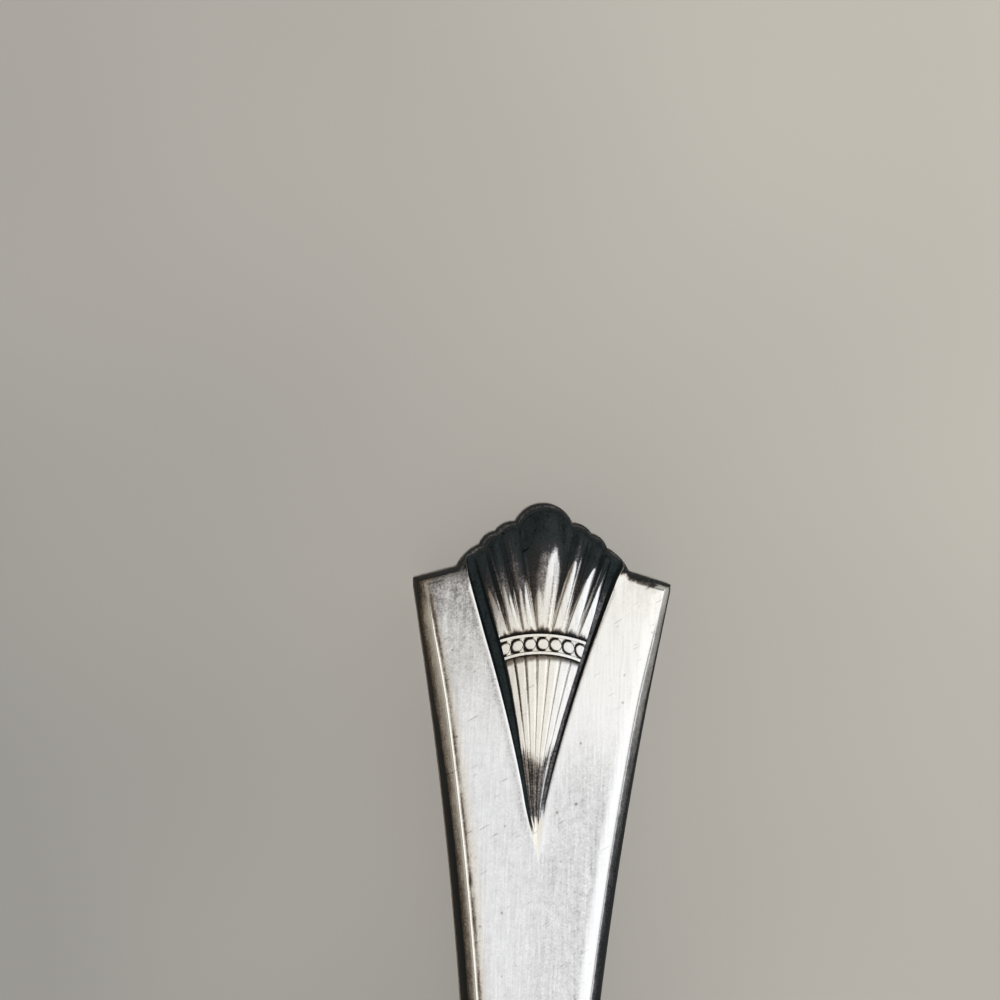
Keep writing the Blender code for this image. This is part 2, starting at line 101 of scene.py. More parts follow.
class Lane(float, Enum):
    """Lines along the handle, counted outwards in flutes from the middle of the centre flute."""

    FIRST_CUSP = 0.5
    SECOND_CUSP = 1.5
    THIRD_CUSP = 2.5
    FAN = 3.5
    VEE = 4.5
    FOOT = 4.62
    CORNER = 5.25
    ARRIS = 5.5
    RIM = 6.5


FLUTE_LANES = (0.0, Lane.FIRST_CUSP, Lane.SECOND_CUSP, Lane.THIRD_CUSP, Lane.FAN)


class RubbedHighlight(NamedTuple):
    """A pale streak up a flute, a painted highlight on rubbed plate: the lanes of its foot and tip, its half
    width and its height.
    """

    foot: float
    half_width: float
    tip: float
    height: float
    strength: float = 1.0


# Painted highlights: each pale streak up a flute paints the light's reflection there as plate rubbed clean of
# tarnish.
RUBBED_HIGHLIGHTS = (
    RubbedHighlight(-3.06, 0.31, -3.26, 0.54),
    RubbedHighlight(-2.76, 0.13, -2.77, 0.42, 0.55),
    RubbedHighlight(-2.21, 0.05, -2.30, 0.92, 0.40),
    RubbedHighlight(-2.13, 0.22, -2.05, 0.52),
    RubbedHighlight(-1.79, 0.13, -1.76, 0.40),
    RubbedHighlight(-1.58, 0.12, -1.45, 0.44),
    RubbedHighlight(-1.20, 0.15, -1.05, 0.41, 0.9),
    RubbedHighlight(-1.14, 0.05, -1.10, 0.88, 0.40),
    RubbedHighlight(-0.70, 0.27, -0.62, 0.50),
    RubbedHighlight(-0.22, 0.20, -0.20, 0.36, 0.85),
    RubbedHighlight(-0.14, 0.20, -0.02, 0.66, 0.28),
    RubbedHighlight(0.06, 0.13, 0.21, 0.70),
    RubbedHighlight(0.37, 0.09, 0.29, 0.64, 0.85),
    RubbedHighlight(0.86, 0.36, 0.99, 0.71),
    RubbedHighlight(0.98, 0.20, 1.02, 0.90, 0.25),
    RubbedHighlight(1.36, 0.12, 1.27, 0.74, 0.8),
    RubbedHighlight(1.96, 0.42, 2.25, 0.77),
    RubbedHighlight(2.50, 0.13, 2.62, 0.60, 0.95),
    RubbedHighlight(2.56, 0.11, 2.80, 0.84, 0.55),
    RubbedHighlight(3.14, 0.40, 3.56, 0.86),
)


def unit(value: Array) -> Array:
    """Holds a value within 0 and 1."""
    return np.clip(value, 0.0, 1.0)


def smooth(value: Array, start: Array = 0.0, span: Array = 1.0) -> Array:
    """Eases from 0 at start to 1 one span on, level at both ends: t squared times 3 minus 2 t."""
    t = unit((value - start) / span)
    return t * t * (3.0 - 2.0 * t)


def mix(start: Array, end: Array, share: Array) -> Array:
    """Goes in a straight line from start to end."""
    return start + (end - start) * share


def bump_at(distance: Array, width: Array) -> Array:
    """A bell curve of the distance: 1 at 0, and about a third one width away."""
    return np.exp(-((distance / width) ** 2))


def ellipse_end(share: Array) -> Array:
    """A quarter ellipse: 0 with a steep start, and level at 1 from a share of 1 on."""
    return np.sqrt(1 - unit(1 - share) ** 2)


def arc(start: Array, end: Array, rise: float, share: Array) -> Array:
    """Points on a circular arc that bulges to the left of the way from start to end.

    The circle's radius is (half the chord squared plus the rise squared) over twice the rise, and the
    share runs evenly over the arc's angle.

    Args:
        start: first point, (x, y).
        end: last point, (x, y).
        rise: height of the arc over the middle of its chord.
        share: places along the arc, 0 to 1.

    Returns:
        One (x, y) row for each share.
    """
    chord = end - start
    half = np.hypot(*chord) / 2
    radius = (half**2 + rise**2) / (2 * rise)
    along = chord / (2 * half)
    outward = np.array([-along[1], along[0]])
    centre = (start + end) / 2 - outward * (radius - rise)
    angle = math.atan2(half, radius - rise) * (2 * np.asarray(share)[:, None] - 1)
    return centre + radius * (np.sin(angle) * along + np.cos(angle) * outward)


def linear(code: str) -> tuple[float, float, float, float]:
    """Turns an sRGB hex colour into linear RGBA.

    Args:
        code: a hash mark and six hex digits.

    Returns:
        Red, green, blue and an alpha of 1.
    """
    parts = np.array([int(code[i : i + 2], 16) for i in (1, 3, 5)]) / 255.0
    low = parts / 12.92
    high = ((parts + 0.055) / 1.055) ** 2.4
    return (*np.where(parts <= 0.04045, low, high).tolist(), 1.0)


def add_object(name: str, data: bpy.types.ID) -> bpy.types.Object:
    """Makes an object and links it into the scene.

    Args:
        name: the object's name.
        data: its mesh, light or camera.

    Returns:
        The object.
    """
    made = bpy.data.objects.new(name, data)
    bpy.context.scene.collection.objects.link(made)
    return made


# Shapes


@dataclass(frozen=True)
class KnifeFrame:
    """Where the knife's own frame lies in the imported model, in metres."""

    shoulder_y: float
    middle_z: float

    @classmethod
    def from_solids(cls, fan_rise: float) -> "KnifeFrame":
        """Reads the frame off the front shell, whose top is fan_rise over the shoulders, and the model."""
        shell_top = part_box("handle_front_shell")[1]
        return cls(shell_top.y - fan_rise * MM, (CAD_BOX[0].z + CAD_BOX[1].z) / 2)

    def place(self, points: Array) -> Array:
        """Moves points from millimetres in the knife's frame to metres in the model."""
        return points * MM + np.array([0.0, self.shoulder_y, self.middle_z])


@dataclass
class Surface:
    """A mesh in the making: its points, its four-sided faces, its end caps and its painted values."""

    points: Array
    quads: Array
    caps: list[Array] = field(default_factory=list)
    paint: dict[str, Array] = field(default_factory=dict)

    @classmethod
    def sheet(cls, outer: Array, inner: Array, paint: dict[str, Array]) -> "Surface":
        """Closes two grids of the same shape into one thick sheet with a strip round their border.

        Args:
            outer: grid of points, rows by columns by 3, that faces out.
            inner: grid of points behind it.
            paint: named values on the outer grid. The inner grid gets the same.

        Returns:
            The closed surface.
        """
        rows, columns = outer.shape[:2]
        index = np.arange(rows * columns).reshape(rows, columns)
        quads = np.stack([index[:-1, :-1], index[:-1, 1:], index[1:, 1:], index[1:, :-1]], -1).reshape(-1, 4)
        loop = np.concatenate([index[0, :-1], index[:-1, -1], index[-1, :0:-1], index[:0:-1, 0]])
        ahead = np.roll(loop, -1)
        behind = rows * columns
        strip = np.stack([ahead, loop, loop + behind, ahead + behind], -1)
        points = np.concatenate([outer.reshape(-1, 3), inner.reshape(-1, 3)])
        painted = {name: np.tile(value.ravel(), 2) for name, value in paint.items()}
        return cls(points, np.concatenate([quads, quads[:, ::-1] + behind, strip]), [], painted)

    @classmethod
    def tube(cls, rings: Array, capped: bool) -> "Surface":
        """Carries closed rings along a path.

        Args:
            rings: points, rings by points round a ring by 3, turning left as seen against the path.
            capped: closes the first and the last ring with a cap each, or else joins them to each other.

        Returns:
            The closed surface.
        """
        count, around = rings.shape[:2]
        index = np.arange(count * around).reshape(count, around)
        near = index[:-1] if capped else index
        far = index[1:] if capped else np.roll(index, -1, axis=0)
        quads = np.stack([near, np.roll(near, -1, 1), np.roll(far, -1, 1), far], -1).reshape(-1, 4)
        return cls(rings.reshape(-1, 3), quads, [index[0, ::-1], index[-1]] if capped else [])

    def turned_over(self) -> "Surface":
        """The same surface turned half round about Y, which keeps its faces pointing out."""
        return Surface(self.points * np.array([-1.0, 1.0, -1.0]), self.quads, self.caps, self.paint)

    def as_piece(self, name: str, place: KnifeFrame, crease_deg: float = 50.0) -> bpy.types.Object:
        """Makes the mesh object.

        Args:
            name: the piece's name.
            place: where the knife's frame lies in the model.
            crease_deg: edges that turn more than this stay sharp.

        Returns:
            The object, at the origin, with its place in its mesh.
        """
        mesh = bpy.data.meshes.new(name)
        sides = np.concatenate([np.full(len(self.quads), 4), [len(cap) for cap in self.caps]]).astype(int)
        corners = np.concatenate([self.quads.ravel(), *self.caps]).astype(int)
        mesh.vertices.add(len(self.points))
        mesh.vertices.foreach_set("co", place.place(self.points).ravel())
        mesh.loops.add(len(corners))
        mesh.loops.foreach_set("vertex_index", corners)
        mesh.polygons.add(len(sides))
        mesh.polygons.foreach_set("loop_start", np.cumsum(sides) - sides)
        mesh.update(calc_edges=True)
        for label, value in self.paint.items():
            layer = mesh.attributes.new(label, "FLOAT", "POINT")
            layer.data.foreach_set("value", value.astype(np.float32))
        mesh.shade_smooth()
        mesh.set_sharp_from_angle(angle=math.radians(crease_deg))
        return add_object(name, mesh)


@dataclass(frozen=True)
class HandleForm:
    """The handle's outline and its rolled edge."""

    length: float = 86.0
    thickness: float = 6.4
    shoulder_width: float = 19.0
    shoulder_tip_rise: float = 0.66
    shoulder_foot: Pair = (6.35, 1.57)
    neck_width: float = 7.4
    neck_to_mouth: float = 18.8
    mouth_width: float = 8.4
    mouth_thickness: float = 5.6
    mouth_taper: float = 8.0
    flange: float = 2.2
    edge_round: float = 1.05
    edge_narrowing: float = 9.0
    shoulder_round: float = 0.80
    edge_sweep: float = math.radians(70.0)
    fan_rise: float = 6.4
    centre_lobe_rise: float = 1.4
    side_lobe_rise: float = 0.22
    last_lobe_shares: Pair = (0.30, 0.63)
    cusp_radius: float = 6.3
    cusp_angles_deg: Triple = (19.5, 34.6, 48.5)
    arm_angles_deg: tuple[float, float, float, float] = (46.0, 16.9, 2.0, 2.0)
    wall: float = 0.6
    solder_thickness: float = 0.2

    @property
    def face_z(self) -> float:
        """Height of the flat face over the middle plane."""
        return self.thickness / 2

    @property
    def rim_z(self) -> float:
        """Height of a shell's rim over the middle plane."""
        return self.solder_thickness / 2

    @property
    def mouth_y(self) -> float:
        """Place of the open mouth."""
        return self.fan_rise - self.length

    @property
    def taper_y(self) -> float:
        """Place where the face starts to fall to the mouth."""
        return self.mouth_y + self.mouth_taper

    @property
    def ferrule_y(self) -> float:
        """Place of the ferrule's lower end, where the bolster starts."""
        return self.mouth_y - self.flange

    def half_width(self, y: Array) -> Array:
        """Half the width: a parabola from the shoulders to the neck, then an ease to the mouth.

        Args:
            y: heights.

        Returns:
            Half the width at each height.
        """
        neck_y = self.mouth_y + self.neck_to_mouth
        flare = (self.shoulder_width - self.neck_width) / 2 * (1 - unit(y / neck_y)) ** 2
        mouth = (self.mouth_width - self.neck_width) / 2 * smooth(y, neck_y, -self.neck_to_mouth)
        return self.neck_width / 2 + flare + mouth

    def half_thickness(self, y: Array) -> Array:
        """Half the thickness: level, then falling in a straight line to the mouth."""
        fall = np.maximum(0.0, (self.taper_y - y) / self.mouth_taper)
        return mix(self.thickness, self.mouth_thickness, fall) / 2

    def roll_inset(self, angle: Array) -> Array:
        """How far the rolled edge has drawn in at an angle of its sweep, as 1 minus the cosine."""
        return self.edge_round * (1 - np.cos(angle)) / (1 - math.cos(self.edge_sweep))

    def round_share(self, y: Array) -> Array:
        """How wide the rolled edge is at a height, against its full width: it narrows to the shoulders."""
        narrow = smooth(y, -self.edge_narrowing, self.edge_narrowing)
        return mix(1.0, self.shoulder_round / self.edge_round, narrow)

    def roll_z(self, angle: Array) -> Array:
        """Height of the rolled edge at an angle of its sweep, as the sine."""
        return self.rim_z + (self.face_z - self.rim_z) * np.sin(angle) / math.sin(self.edge_sweep)

    def roll_angle(self, z: Array) -> Array:
        """The angle of the sweep at which the rolled edge has a height."""
        share = unit((z - self.rim_z) / (self.face_z - self.rim_z))
        return np.arcsin(share * math.sin(self.edge_sweep))

    def cusps(self) -> Array:
        """The cusps between the lobes on the right, from the centre out, on one circle.

        Returns:
            One (x, y) row for each cusp.
        """
        angle = np.radians(self.cusp_angles_deg)
        centre_y = self.fan_rise - self.centre_lobe_rise - self.cusp_radius * math.cos(angle[0])
        return np.stack([self.cusp_radius * np.sin(angle), centre_y + self.cusp_radius * np.cos(angle)], 1)

    def end_outline(self, lane: Array) -> Array:
        """The right half of the handle's end: lobes as arcs between cusps, then the straight shoulder.

        Args:
            lane: places along the outline, from 0 at the top of the fan to the rim lane at the shoulder tip.

        Returns:
            One (x, y) row for each lane.
        """
        first, second, third = self.cusps()
        foot = np.array(self.shoulder_foot)
        tip = np.array([self.shoulder_width / 2, self.shoulder_tip_rise])
        along = (foot - tip) / np.hypot(*(foot - tip))
        arris = tip + along * self.shoulder_round
        marks = [Lane.THIRD_CUSP, Lane.FAN, Lane.VEE, Lane.FOOT]
        lobe_share = np.interp(lane, marks, [0, *self.last_lobe_shares, 1])
        shoulder_share = unit((lane - Lane.FOOT) / (Lane.ARRIS - Lane.FOOT))[:, None]
        corner = self.roll_inset(self.edge_sweep * unit(Lane.RIM - lane))[:, None]
        corner = corner * self.shoulder_round / self.edge_round
        pieces = [
            arc(first * np.array([-1.0, 1.0]), first, self.centre_lobe_rise, 0.5 + np.clip(lane, 0, 0.5)),
            arc(first, second, self.side_lobe_rise, unit(lane - Lane.FIRST_CUSP)),
            arc(second, third, self.side_lobe_rise, unit(lane - Lane.SECOND_CUSP)),
            arc(third, foot, self.side_lobe_rise, lobe_share),
            mix(foot, arris, shoulder_share),
            tip + along * corner,
        ]
        ends = [Lane.FIRST_CUSP, Lane.SECOND_CUSP, Lane.THIRD_CUSP, Lane.FOOT, Lane.ARRIS]
        part = np.searchsorted(np.array([float(end) for end in ends]), lane)
        return np.stack(pieces)[part, np.arange(len(lane))]

    def inward(self, lane: Array) -> Array:
        """Directions in which the end's rolled edge draws in, turned from -Y towards the axis.

        Args:
            lane: places along the outline.

        Returns:
            One (x, y) row of length 1 for each lane.
        """
        marks = [*FLUTE_LANES, Lane.VEE, Lane.ARRIS, Lane.RIM]
        turn = np.radians(np.interp(lane, marks, [0, *self.cusp_angles_deg, *self.arm_angles_deg]))
        return np.stack([-np.sin(turn), -np.cos(turn)], 1)


@dataclass
class ShellGrid:
    """The places of a half shell's points: by signed lane and row, and in plan as on the right half."""

    signed: Array
    row: Array
    share: Array
    x: Array
    y: Array

    def __post_init__(self) -> None:
        """Works out the lanes, and how far up the sheaf, the band and the fan each row lies, 0 to 1."""
        self.lane = np.abs(self.signed)
        self.right = (self.signed > 0) * 1.0
        starts = (Row.SHEAF_TIP, Row.BAND_FOOT, Row.BAND_TOP)
        self.low, self.band, self.up = (unit(self.row - start) for start in starts)
        self.on_band = (self.row > Row.BAND_FOOT) & (self.row < Row.BAND_TOP)


@dataclass(frozen=True)
class HandleShell:
    """One struck half of the handle, with the sunk vee and the fan, band and sheaf that stand in it.

    The grid's columns follow the lanes from flute to flute and out to the rim, and its rows follow the
    lines in Row, so every ridge, groove and edge lies on grid lines.
    """

    form: HandleForm
    vee_length: float = 19.3
    vee_width: float = 10.43
    vee_flare: float = 0.353
    vee_blunt: float = 0.13
    vee_depth: float = 0.95
    vee_ease: float = 1.25
    vee_round: float = 0.06
    groove_slope: float = 0.042
    groove_base: float = 0.13
    groove_floor: float = 0.66
    fan_inset: float = 0.5
    flute_shares: tuple[float, float, float, float] = (0.15, 0.455, 0.75, 1.0)
    flute_back: float = 0.86
    crest_below_face: float = 0.06
    sheaf_above_apex: float = 2.7
    band_below_shoulder: float = 3.1
    band_height: float = 1.55
    band_sag: float = 0.52
    rail_width: float = 0.26
    bead_pitch: float = 0.94
    bead_radius: float = 0.47
    band_relief: float = 0.17
    shoulder_roll: float = 0.55
    tip_raggedness: float = 0.30
    side_falls: Triple = (0.12, 0.05, 0.42)
    valley_shares: Triple = (0.045, 0.10, 0.62)
    petal_bow: float = 0.55
    petal_nose: float = 0.06
    notch_share: float = 0.3
    ledge_drop: float = 0.05
    facet_share: float = 0.35
    arris_wear: Pair = (0.06, 0.9)
    vee_wear: Pair = (0.018, 0.16)
    end_wear: float = 0.05
    crown: float = 0.05
    edge_step: float = 0.06
    burr: Triple = (0.05, 0.09, 0.11)
    fan_shift: float = 0.25
    vee_shift: float = -0.30
    flute_steps: int = 22
    groove_steps: int = 16
    arm_steps: int = 24
    roll_steps: int = 14
    row_steps: tuple[int, ...] = (4, 26, 8, 42, 34, 60, 4, 10)

    @property
    def apex_y(self) -> float:
        """Place of the vee's lower point."""
        return -self.vee_length

    def lanes(self) -> Array:
        """Spaces the grid's columns, close-set at the flutes, the groove, the arris and the rolled edge.

        Returns:
            Signed lane of every column, negative on the left.
        """
        right = np.concatenate([
            np.arange(int(Lane.FAN * self.flute_steps)) / self.flute_steps,
            Lane.FAN + np.arange(self.groove_steps) / self.groove_steps,
            Lane.VEE + (1 - np.cos(np.pi * np.arange(self.arm_steps) / self.arm_steps)) / 2,
            Lane.ARRIS + (np.arange(self.roll_steps + 1) / self.roll_steps) ** 1.5,
        ])
        return np.concatenate([-right[:0:-1], right])

    def rows(self) -> Array:
        """Spaces the grid's rows: evenly from line to line, but closing up to the apex on the flat face.

        Returns:
            Row coordinate of every row, as a column.
        """
        parts = [np.arange(count) / count for count in self.row_steps]
        parts[Row.TAPER] = 1 - (1 - parts[Row.TAPER]) ** 2
        parts = [part + start for start, part in enumerate(parts)]
        return np.append(np.concatenate(parts), float(Row.RIM))[:, None]

    def fan_share(self, lane: Array) -> Array:
        """Share of the fan's half width that a lane has reached."""
        return np.interp(lane, FLUTE_LANES, [0, *self.flute_shares])

    def vee_half(self, y: Array) -> Array:
        """Half the vee's width: nearly straight sides that flare a little on the way up from the apex.

        Args:
            y: heights.

        Returns:
            Half the vee's width at each height.
        """
        share = np.maximum(0.0, 1 - y / self.apex_y)
        blunt = self.vee_blunt * smooth(share, 0, 0.08) * (1 - smooth(share, 0, 0.3))
        return self.vee_width / 2 * ((1 - self.vee_flare) * share + self.vee_flare * share**2) + blunt

    def lane_edges(self, y: Array) -> list[Array]:
        """Distances of the lane lines from the axis at a height, from the axis to the arris.

        Below the apex the vee's lines go on as plain lines on the flat face, which only carry the grid.

        Args:
            y: heights.

        Returns:
            One array of distances for each lane line.
        """
        vee = self.vee_half(y)
        spare = np.hypot(vee, self.vee_round) - vee + 0.04 * np.maximum(0.0, self.apex_y - y)
        above = np.maximum(0.0, y - self.apex_y)
        groove = self.groove_slope * above + self.groove_base * smooth(above, 0, 2) + 0.15 * spare
        edge = vee + spare
        arris = self.form.half_width(y) - self.form.edge_round * self.form.round_share(y)
        return [0 * y, *((edge - groove) * share for share in self.flute_shares), edge, arris]

    def depth(self, y: Array) -> Array:
        """Depth of the vee's floor: a long ramp that starts level at the apex."""
        return self.vee_depth * unit(1 - y / self.apex_y) ** self.vee_ease

    def plan(self, lane: Array, row: Array) -> tuple[Array, Array]:
        """Where each grid point lies in plan on the right half.

        Up to the band's top a row has its own height and the lanes share out the width there. Past it,
        points run straight to the petals' ends and the ledge, and last down the rolled edge to the outline.

        Args:
            lane: lane of each column, from 0 up.
            row: row coordinate of each row, as a column.

        Returns:
            X and Y, rows by columns.
        """
        form = self.form
        band_top = -self.band_below_shoulder - self.band_sag * self.fan_share(lane) ** 2
        ragged_tip = self.apex_y + self.sheaf_above_apex + self.tip_raggedness * np.sin(2.3 * lane + 0.6)
        level = [np.full_like(lane, y) for y in (form.mouth_y, form.taper_y, self.apex_y)]
        heights = np.stack([*level, ragged_tip, band_top - self.band_height, band_top], 1)
        y = np.stack([np.interp(row[:, 0], range(heights.shape[1]), line) for line in heights], 1)
        x = np.zeros_like(y)
        edges = self.lane_edges(y)
        marks = [*FLUTE_LANES, Lane.VEE, Lane.ARRIS]
        for start, end, near, far in zip(marks, marks[1:], edges, edges[1:]):
            x = np.where((lane >= start) & (lane <= end), mix(near, far, (lane - start) / (end - start)), x)
        rolled = form.roll_inset(form.edge_sweep * (Lane.RIM - lane)) * form.round_share(y)
        x = np.where(lane > Lane.ARRIS, form.half_width(y) - rolled, x)

        outline = form.end_outline(lane)
        inward = form.inward(lane)
        on_arm = smooth(lane, Lane.FAN)
        narrow = mix(1.0, self.shoulder_roll, on_arm)
        top_angle = form.roll_angle(self.ledge_z(lane))
        drawn = form.roll_inset(top_angle * unit(Row.RIM - row)) * narrow
        ledge = outline + inward * (form.roll_inset(top_angle) * narrow)[:, None]
        start = np.stack([x[-1], y[-1]], 1)
        petal = mix(outline + inward * self.fan_inset, mix(start, ledge, 0.8), on_arm[:, None])
        up = unit(row - Row.BAND_TOP)
        last = unit(row - Row.PETAL_END)
        placed = []
        for axis, lower in enumerate((x, y)):
            straight = mix(mix(start[:, axis], petal[:, axis], up), ledge[:, axis], last)
            rolled_down = outline[:, axis] + inward[:, axis] * drawn
            placed.append(np.select([row > Row.LEDGE, row > Row.BAND_TOP], [rolled_down, straight], lower))
        return placed[0], placed[1]

    def grid(self) -> ShellGrid:
        """Lays out the half shell's grid.

        Returns:
            The places of its points.
        """
        signed, row = self.lanes(), self.rows()
        lane = np.abs(signed)
        return ShellGrid(signed, row, self.fan_share(lane), *self.plan(lane, row))

    def wall_rise(self, lane: Array) -> Array:
        """How far the vee's wall has risen across the groove: 0 on its floor and 1 at the crisp edge."""
        share = (lane - Lane.FAN - self.groove_floor) / (1 - self.groove_floor)
        return 1 - np.cos(np.pi / 2 * unit(share))

    def ledge_z(self, lane: Array) -> Array:
        """Height at which the end's rolled edge stops: the vee's floor at the fan, the face at the arms."""
        face_z = self.form.face_z
        return mix(face_z - self.vee_depth, face_z - self.ledge_drop, self.wall_rise(lane))

    def flute_section(self, lane: Array, row: Array) -> Array:
        """A flute's section: a back, flat at the band and rounder upwards, and a thin fillet at each side.

        The outermost flutes are cut off by the groove before they fall.

        Args:
            lane: lane of each column, from 0 up.
            row: row coordinate of each row, as a column.

        Returns:
            Height of the section, 1 on the back's middle.
        """
        local = 2 * np.abs((lane + 0.5) % 1 - 0.5) * np.where(lane > 3, 0.55, 1.0)
        power = mix(11.0, 2.0, smooth(row, Row.BAND_TOP, 0.7) ** 0.6)
        back = 1 - (local / self.flute_back) ** power
        fillet = 0.35 * (1 - ((1 - local) / (1 - self.flute_back)) ** 2)
        return np.where(local < self.flute_back, back, fillet)

    def band_places(self, at: ShellGrid) -> tuple[Array, Array, Array]:
        """On the band: the distance from its nearer edge, and the way across and along from a bead.

        Args:
            at: the shell's grid.

        Returns:
            The three distances at each point.
        """
        from_edge = np.minimum(at.band, 1 - at.band) * self.band_height
        across = at.x - self.bead_pitch * np.clip(np.round(at.x / self.bead_pitch), -3, 3)
        return from_edge, across, (at.band - 0.5) * self.band_height

    def face_places(self, at: ShellGrid) -> tuple[Array, Array, Array]:
        """On the face: the arris's place, the distance that is left to it and the distance past the vee."""
        *_, edge, arris = self.lane_edges(np.minimum(at.y, 0.0))
        return arris, np.maximum(0.0, arris - at.x), np.maximum(0.0, at.x - edge)

    def fan_height(self, at: ShellGrid) -> Array:
        """Height of the fan, band and sheaf over the vee's floor.

        The crest lies just under the face and falls off to the sides. The flutes' valleys deepen upwards,
        the petals bow down to their ends, and the band is a channel with beads between two half-round rails.

        Args:
            at: the shell's grid.

        Returns:
            The height at each point.
        """
        low, up = at.low, at.up
        section = self.flute_section(np.minimum(at.lane, Lane.FAN), at.row)
        sheaf_fall, band_fall, fan_fall = self.side_falls
        side_fall = mix(mix(sheaf_fall, band_fall, at.band), fan_fall, up) * at.share**2.6
        crest = np.maximum(0.0, self.depth(at.y) - self.crest_below_face) * (1 - side_fall)
        sheaf_valley, low_valley, high_valley = self.valley_shares
        valley = np.where(up > 0, mix(low_valley, high_valley, up), sheaf_valley)
        bow = 1 - self.petal_bow * up**2.2
        nose = ellipse_end((1 - up) / self.petal_nose)
        tip = smooth(low * 14)
        notch = 1 - self.notch_share * np.where(up > 0, bump_at(up, 0.014), bump_at(1 - low, 0.012))
        flutes = crest * bow * (1 - valley * (1 - section)) * nose * tip * notch

        from_edge, across, along = self.band_places(at)
        rail = np.sqrt(unit(1 - ((from_edge / self.rail_width) * 2 - 1) ** 2))
        bead = np.sqrt(unit(1 - (across**2 + along**2) / self.bead_radius**2))
        raised = np.maximum(unit(2.0 * rail), unit(3.4 * bead - 0.8))
        beaded = crest - self.band_relief + (self.band_relief + 0.02) * raised
        height = np.where(at.on_band, np.maximum(0.0, beaded), flutes)
        return np.where((at.row < Row.SHEAF_TIP) | (at.row > Row.PETAL_END), 0.0, height)

    def arm_fall(self, at: ShellGrid) -> Array:
        """How far the flat face has worn down beside the arris, the vee and the shoulder's edge.

        Args:
            at: the shell's grid.

        Returns:
            The fall at each point.
        """
        arris, to_arris, past_vee = self.face_places(at)
        beside_arris, beside_vee = (
            depth * unit(1 - away / width) ** 2
            for away, (depth, width) in ((to_arris, self.arris_wear), (past_vee, self.vee_wear))
        )
        beside_vee = beside_vee * smooth(at.y, self.apex_y + 1, 4)
        beside_end = self.end_wear * (1 - unit(Row.LEDGE - at.row)) ** 2
        crown = self.crown * (at.x / arris) ** 2
        return np.maximum(beside_arris, beside_end) + beside_vee + crown

    def relief(self, at: ShellGrid) -> Array:
        """Height of the shell over the middle plane.

        The fan stands in the sunk vee, whose tip is a shallow facet, and the rolled edges are cut from the
        sides and the end. A thin burr stands on the arris, and all heights shrink alike to the mouth.

        Args:
            at: the shell's grid.

        Returns:
            Z of each point.
        """
        form, lane, row, y = self.form, at.lane, at.row, at.y
        depth = self.depth(y)
        floor = form.face_z - depth
        fan = floor + self.fan_height(at)
        sunk = mix(floor, fan, 1 - smooth(lane, Lane.FAN, 0.2))
        face = form.face_z - self.arm_fall(at)
        groove = mix(sunk, face, self.wall_rise(lane))
        facet = face - self.facet_share * depth * unit(1 - at.x / self.lane_edges(y)[-2])
        z = mix(facet, np.where(lane <= Lane.FAN, fan, groove), smooth(y, self.apex_y + 2.8, 1.6))
        z = np.where(lane <= Lane.VEE, z, face)
        ledge_z = self.ledge_z(lane)
        z = np.where(row >= Row.LEDGE, np.minimum(z, ledge_z), z)
        end_angle = form.roll_angle(ledge_z) * unit(Row.RIM - row)
        z = np.where(row > Row.LEDGE, form.roll_z(end_angle), z)
        side = form.roll_z(form.edge_sweep * unit(Lane.RIM - lane))
        side = side - self.edge_step * (side - form.rim_z) / (form.face_z - form.rim_z)
        past_arris = at.x - self.face_places(at)[0]
        burr_height, burr_middle, burr_width = self.burr
        burr = burr_height * bump_at(past_arris - burr_middle, burr_width) * smooth(y, -1, -2)
        z = np.where(lane > Lane.ARRIS, np.minimum(z, side), z) + burr
        scale = (form.half_thickness(y) - form.rim_z) / (form.face_z - form.rim_z)
        return form.rim_z + (z - form.rim_z) * scale

    def shift(self, at: ShellGrid) -> Array:
        """How far off the axis the vee was struck, to the left, and the fan in it, back to the right.

        Both fade out to the vee's tip and the lobes, and the vee's fades out over the arms to the arris.

        Args:
            at: the shell's grid.

        Returns:
            The shift along X at each point.
        """
        above = at.y - self.apex_y
        beside = smooth(at.lane, Lane.THIRD_CUSP, 1.5)
        fade = (1 - at.up * (1 - 0.7 * beside)) * (1 - smooth(at.row, Row.PETAL_END, 1.5))
        vee = self.vee_shift * unit(Lane.ARRIS - at.lane) * smooth(above, 0, 4) * fade
        return vee + self.fan_shift * unit(Lane.VEE - at.lane) * smooth(above, 5, 10) * (1 - at.up)

    def surface(self) -> Surface:
        """The whole half shell: the struck outside, the inside one wall behind and the rim between them.

        Returns:
            The closed and painted surface.
        """
        form = self.form
        at = self.grid()
        side = np.sign(at.signed)
        z = self.relief(at)
        outer = np.stack([at.x * side + self.shift(at), at.y, z], -1)
        near_end = smooth(at.row, Row.BAND_TOP, Row.RIM - Row.BAND_TOP)
        near_side = smooth(at.lane, Lane.VEE, Lane.RIM - Lane.VEE)
        roof = (form.face_z - form.wall - form.rim_z) / (form.face_z - form.rim_z)
        inner_x = outer[..., 0] - form.wall * near_side * side
        inner = np.stack([inner_x, at.y - form.wall * near_end, form.rim_z + (z - form.rim_z) * roof], -1)
        # The tarnish values carry painted shade and painted highlights as well as tarnish.
        wear_and_shade = PlateWearAndShade(self)
        return Surface.sheet(outer, inner, {"tarnish": wear_and_shade.tarnish(at), "browning": wear_and_shade.browning(at)})

    def rim_loop(self) -> list[Array]:
        """The rim's outer and inner line: from the mouth up the right side, over the fan, down the left."""
        points = self.surface().points[:, :2].reshape(2, len(self.rows()), len(self.lanes()), 2)
        return [np.concatenate([grid[:, -1], grid[-1, -2::-1], grid[-2::-1, 0]]) for grid in points]


